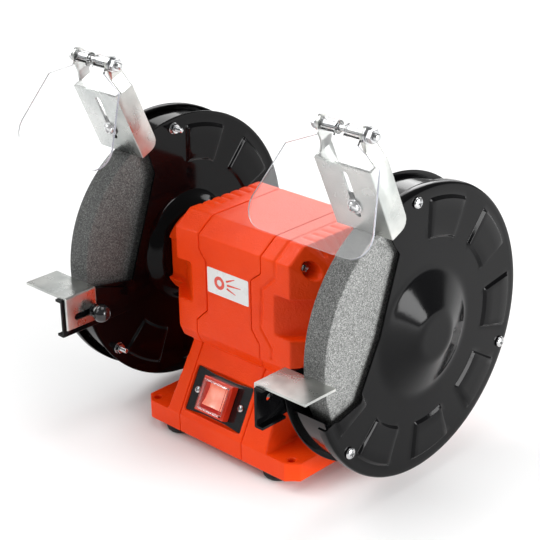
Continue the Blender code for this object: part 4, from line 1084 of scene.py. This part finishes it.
def edge_faces(shield, label):
    """The sheet's cut edges get a less clear grey finish of their own, a painted highlight for the light
    they catch.
    """
    mesh = shield.data
    mesh.materials.append(MATERIALS["clear_plastic"])
    mesh.materials.append(EDGE_PAINTED_HIGHLIGHT)
    broad = broad_normal(mesh)
    low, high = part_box("hinge_nut_" + label)
    rod = Vector((0, (low.y + high.y) / 2, (low.z + high.z) / 2))
    for face in mesh.polygons:
        away = hypot(face.center.y - rod.y, face.center.z - rod.z)
        if abs(face.normal.dot(broad)) < 0.8 and away > 0.009:
            face.material_index = 1


def hinge(side):
    """The rod that the shield turns on: a hexagonal head and a washer, then a nut with two washers."""
    label = SIDES[side]
    low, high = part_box("hinge_bolt_" + label)
    nut_low, nut_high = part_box("hinge_nut_" + label)
    y, z = (nut_low.y + nut_high.y) / 2, (nut_low.z + nut_high.z) / 2
    middle = side * WHEEL_CENTRE
    seat = nut_low.x - middle
    face = seat + HINGE_WASHER
    left = along((-1, 0, 0), (middle, y, z))
    right = along((1, 0, 0), (middle, y, z))
    head_height = middle - low.x - face
    tail = high.x - nut_high.x
    reach = nut_high.x - middle
    bolt = [placed(smooth(rod(HINGE_RADIUS, -reach, face, 24)), left),
            placed(washer(0.0058, HINGE_RADIUS, HINGE_WASHER), left @ raised(seat)),
            placed(hexagon(HINGE_HEX, head_height), left @ raised(face)),
            placed(thread(HINGE_RADIUS, tail), right @ raised(reach))]
    made = joined("hinge_bolt_%s_looks" % label, bolt)
    stands_for(made, "hinge_bolt_" + label, material=MATERIALS["steel"])
    thick = reach - face - HINGE_SPLIT
    nut = hexagon(HINGE_HEX, thick)
    cut(nut, rod(HINGE_BORE, -OVERCUT, thick + OVERCUT, 24))
    rings = [placed(washer(0.0061, HINGE_BORE, HINGE_WASHER), right @ raised(seat)),
             placed(washer(0.0049, HINGE_BORE, HINGE_SPLIT), right @ raised(face)),
             placed(smooth(nut, radians(20)), right @ raised(face + HINGE_SPLIT))]
    made = joined("hinge_nut_%s_looks" % label, rings)
    stands_for(made, "hinge_nut_" + label, material=MATERIALS["steel"])


def arrestor_bolt(side):
    """A domed Phillips screw and washer in front of the bracket, its nut behind the guard's tab."""
    node = "arrestor_bolt_" + SIDES[side]
    out = Vector((0, -cos(BRACKET_LEAN), -sin(BRACKET_LEAN)))
    points = [v.co for v in NODES[node].data.vertices]
    tip = max(points, key=lambda point: point.dot(out))
    front = tip.dot(out)
    back = min(point.dot(out) for point in points)
    seat = along(out, tip - out * ARRESTOR_HEAD)
    behind = along(-out, tip - out * (ARRESTOR_HEAD + ARRESTOR_GRIP))
    plate = ARRESTOR_WASHER[2]
    thick = ARRESTOR_NUT[1]
    tail = front - back - ARRESTOR_HEAD - ARRESTOR_GRIP - thick
    shank = rod(ARRESTOR_RADIUS, -(ARRESTOR_GRIP + thick), 0.001, 20)
    parts = [placed(washer(*ARRESTOR_WASHER), seat),
             placed(pan_head(ARRESTOR_DOME, ARRESTOR_HEAD - plate), seat @ raised(plate)),
             placed(smooth(shank), seat),
             placed(hexagon(*ARRESTOR_NUT), behind),
             placed(thread(ARRESTOR_RADIUS, tail), behind @ raised(thick))]
    stands_for(joined(node + "_looks", parts), node, material=MATERIALS["steel"])


def rest_parts(side):
    """The tool rest, its arm and the clamping knob."""
    label = SIDES[side]
    stands_for(bent_sheet("tool_rest_" + label, 0.0020, 0.0006, BEND_EDGE), "tool_rest_" + label)
    arm = bent_sheet("rest_arm_" + label, 0.0018, 0.0006, BEND_EDGE, broad=0.0028)
    stands_for(arm, "rest_arm_" + label)
    node = "rest_knob_" + label
    low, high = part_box(node)
    ends = sorted((abs(low.x), abs(high.x)))
    radius = (high.z - low.z) / 2
    length = ends[1] - ends[0]
    profile = [(0, 0)]
    for angle in range(-75, 60, 12):
        turn = radians(angle)
        profile.append((radius * cos(turn), radius + radius * sin(turn)))
    profile += [(0.0040, 0.0136), (0.0042, 0.0143), (0.0050, 0.0146), (0.0052, 0.0150), (0.0052, 0.0162),
                (0.0049, KNOB_COLLAR), (STEM_RADIUS, KNOB_COLLAR), (STEM_RADIUS, length), (0, length)]
    knob = lathe(node + "_looks", profile, 40)
    centre = (side * ends[0], (low.y + high.y) / 2, (low.z + high.z) / 2)
    stands_for(smooth(placed(knob, along((side, 0, 0), centre)), radians(35)), node)


# ---------------------------------------------------------------- switch

def switch_parts():
    """The plate with its two screws, the frame, the clear cover and the rocker."""
    plate = from_bmesh("switch_plate_looks", cad_copy("switch_plate"))
    stands_for(bevelled(plate, 0.0007, 3), "switch_plate")
    bezel = from_bmesh("switch_bezel_looks", cad_copy("switch_bezel"))
    stands_for(bevelled(bezel, 0.0005, 3), "switch_bezel")
    cover = from_bmesh("switch_cover_looks", cad_copy("switch_cover"))
    stands_for(bevelled(cover, 0.0004, 3), "switch_cover")
    rocker = from_bmesh("switch_rocker_looks", cad_copy("switch_rocker"))
    stands_for(bevelled(rocker, 0.0005, 3), "switch_rocker", material=ROCKER_PAINTED_GLOW)
    out = broad_normal(NODES["switch_plate"].data)
    for label in SIDES.values():
        node = "switch_screw_" + label
        points = [v.co for v in NODES[node].data.vertices]
        tip = max(points, key=lambda point: point.dot(out))
        length = tip.dot(out) - min(point.dot(out) for point in points) - SWITCH_HEAD[1]
        seat = along(out, tip - out * SWITCH_HEAD[1])
        shank = rod(SWITCH_SHANK, -length, 0.0005, 16)
        parts = [placed(pan_head(*SWITCH_HEAD), seat), placed(smooth(shank), seat)]
        stands_for(joined(node + "_looks", parts), node, material=MATERIALS["steel"])


# ---------------------------------------------------------------- inside

def inner_parts():
    """What the housing hides keeps its CAD shape, in its own finish."""
    for name, node in NODES.items():
        if node.hide_render:
            continue
        node.data.materials.clear()
        node.data.materials.append(MATERIALS[SLOT_OF[name]])
        smooth(node)


# ---------------------------------------------------------------- studio

def camera():
    """At the photo's viewing angle."""
    back = Vector((sin(AZIMUTH) * cos(ELEVATION), -cos(AZIMUTH) * cos(ELEVATION), sin(ELEVATION)))
    right = Vector((cos(AZIMUTH), sin(AZIMUTH), 0))
    up = back.cross(right)
    right, up = cos(ROLL) * right + sin(ROLL) * up, cos(ROLL) * up - sin(ROLL) * right
    data = bpy.data.cameras.new("camera")
    data.lens = CAMERA_LENS
    data.sensor_width = CAMERA_SENSOR
    made = bpy.data.objects.new("camera", data)
    turn = Matrix((right, up, back)).transposed().to_4x4()
    made.matrix_world = Matrix.Translation(CAMERA_AIM + CAMERA_DISTANCE * back) @ turn
    bpy.context.scene.collection.objects.link(made)
    bpy.context.scene.camera = made


def softbox(name, place, aim, size, power):
    """A rectangular light that faces what it is aimed at."""
    data = bpy.data.lights.new(name, "AREA")
    data.shape = "RECTANGLE"
    data.size, data.size_y = size
    data.energy = power
    made = bpy.data.objects.new(name, data)
    made.location = place
    made.rotation_mode = "QUATERNION"
    made.rotation_quaternion = (Vector(aim) - Vector(place)).to_track_quat("-Z", "Y")
    bpy.context.scene.collection.objects.link(made)


def studio():
    """White surroundings, a pale floor and the soft lights."""
    scene = bpy.context.scene
    scene.view_settings.view_transform = "Standard"
    world = bpy.data.worlds.new("studio")
    world.use_nodes = True
    background = world.node_tree.nodes["Background"]
    background.inputs["Color"].default_value = (1.0, 1.0, 1.0, 1.0)
    background.inputs["Strength"].default_value = WORLD_STRENGTH
    scene.world = world
    bm = bmesh.new()
    bmesh.ops.create_grid(bm, x_segments=2, y_segments=2, size=FLOOR_HALF)
    floor = from_bmesh("floor", bm)
    floor.data.transform(Matrix.Translation((0, 0, FLOOR_Z)))
    paper = finish_of("paper", ((0.88, 0.88, 0.88), (0.90, 0.90, 0.90)), 3, (0.75, 0.85), 6,
                      ((900, 0.00002, 0.1),))
    floor.data.materials.append(paper)
    for light in LIGHTS:
        softbox(*light)


def main():
    camera()
    castings()
    bell_screws()
    label_plate()
    base_parts()
    for side in SIDES:
        wheel(side)
        hub_parts(side)
        guard_covers(side)
        guard_bolts(side)
        shield_parts(side)
        rest_parts(side)
    switch_parts()
    inner_parts()
    studio()


main()
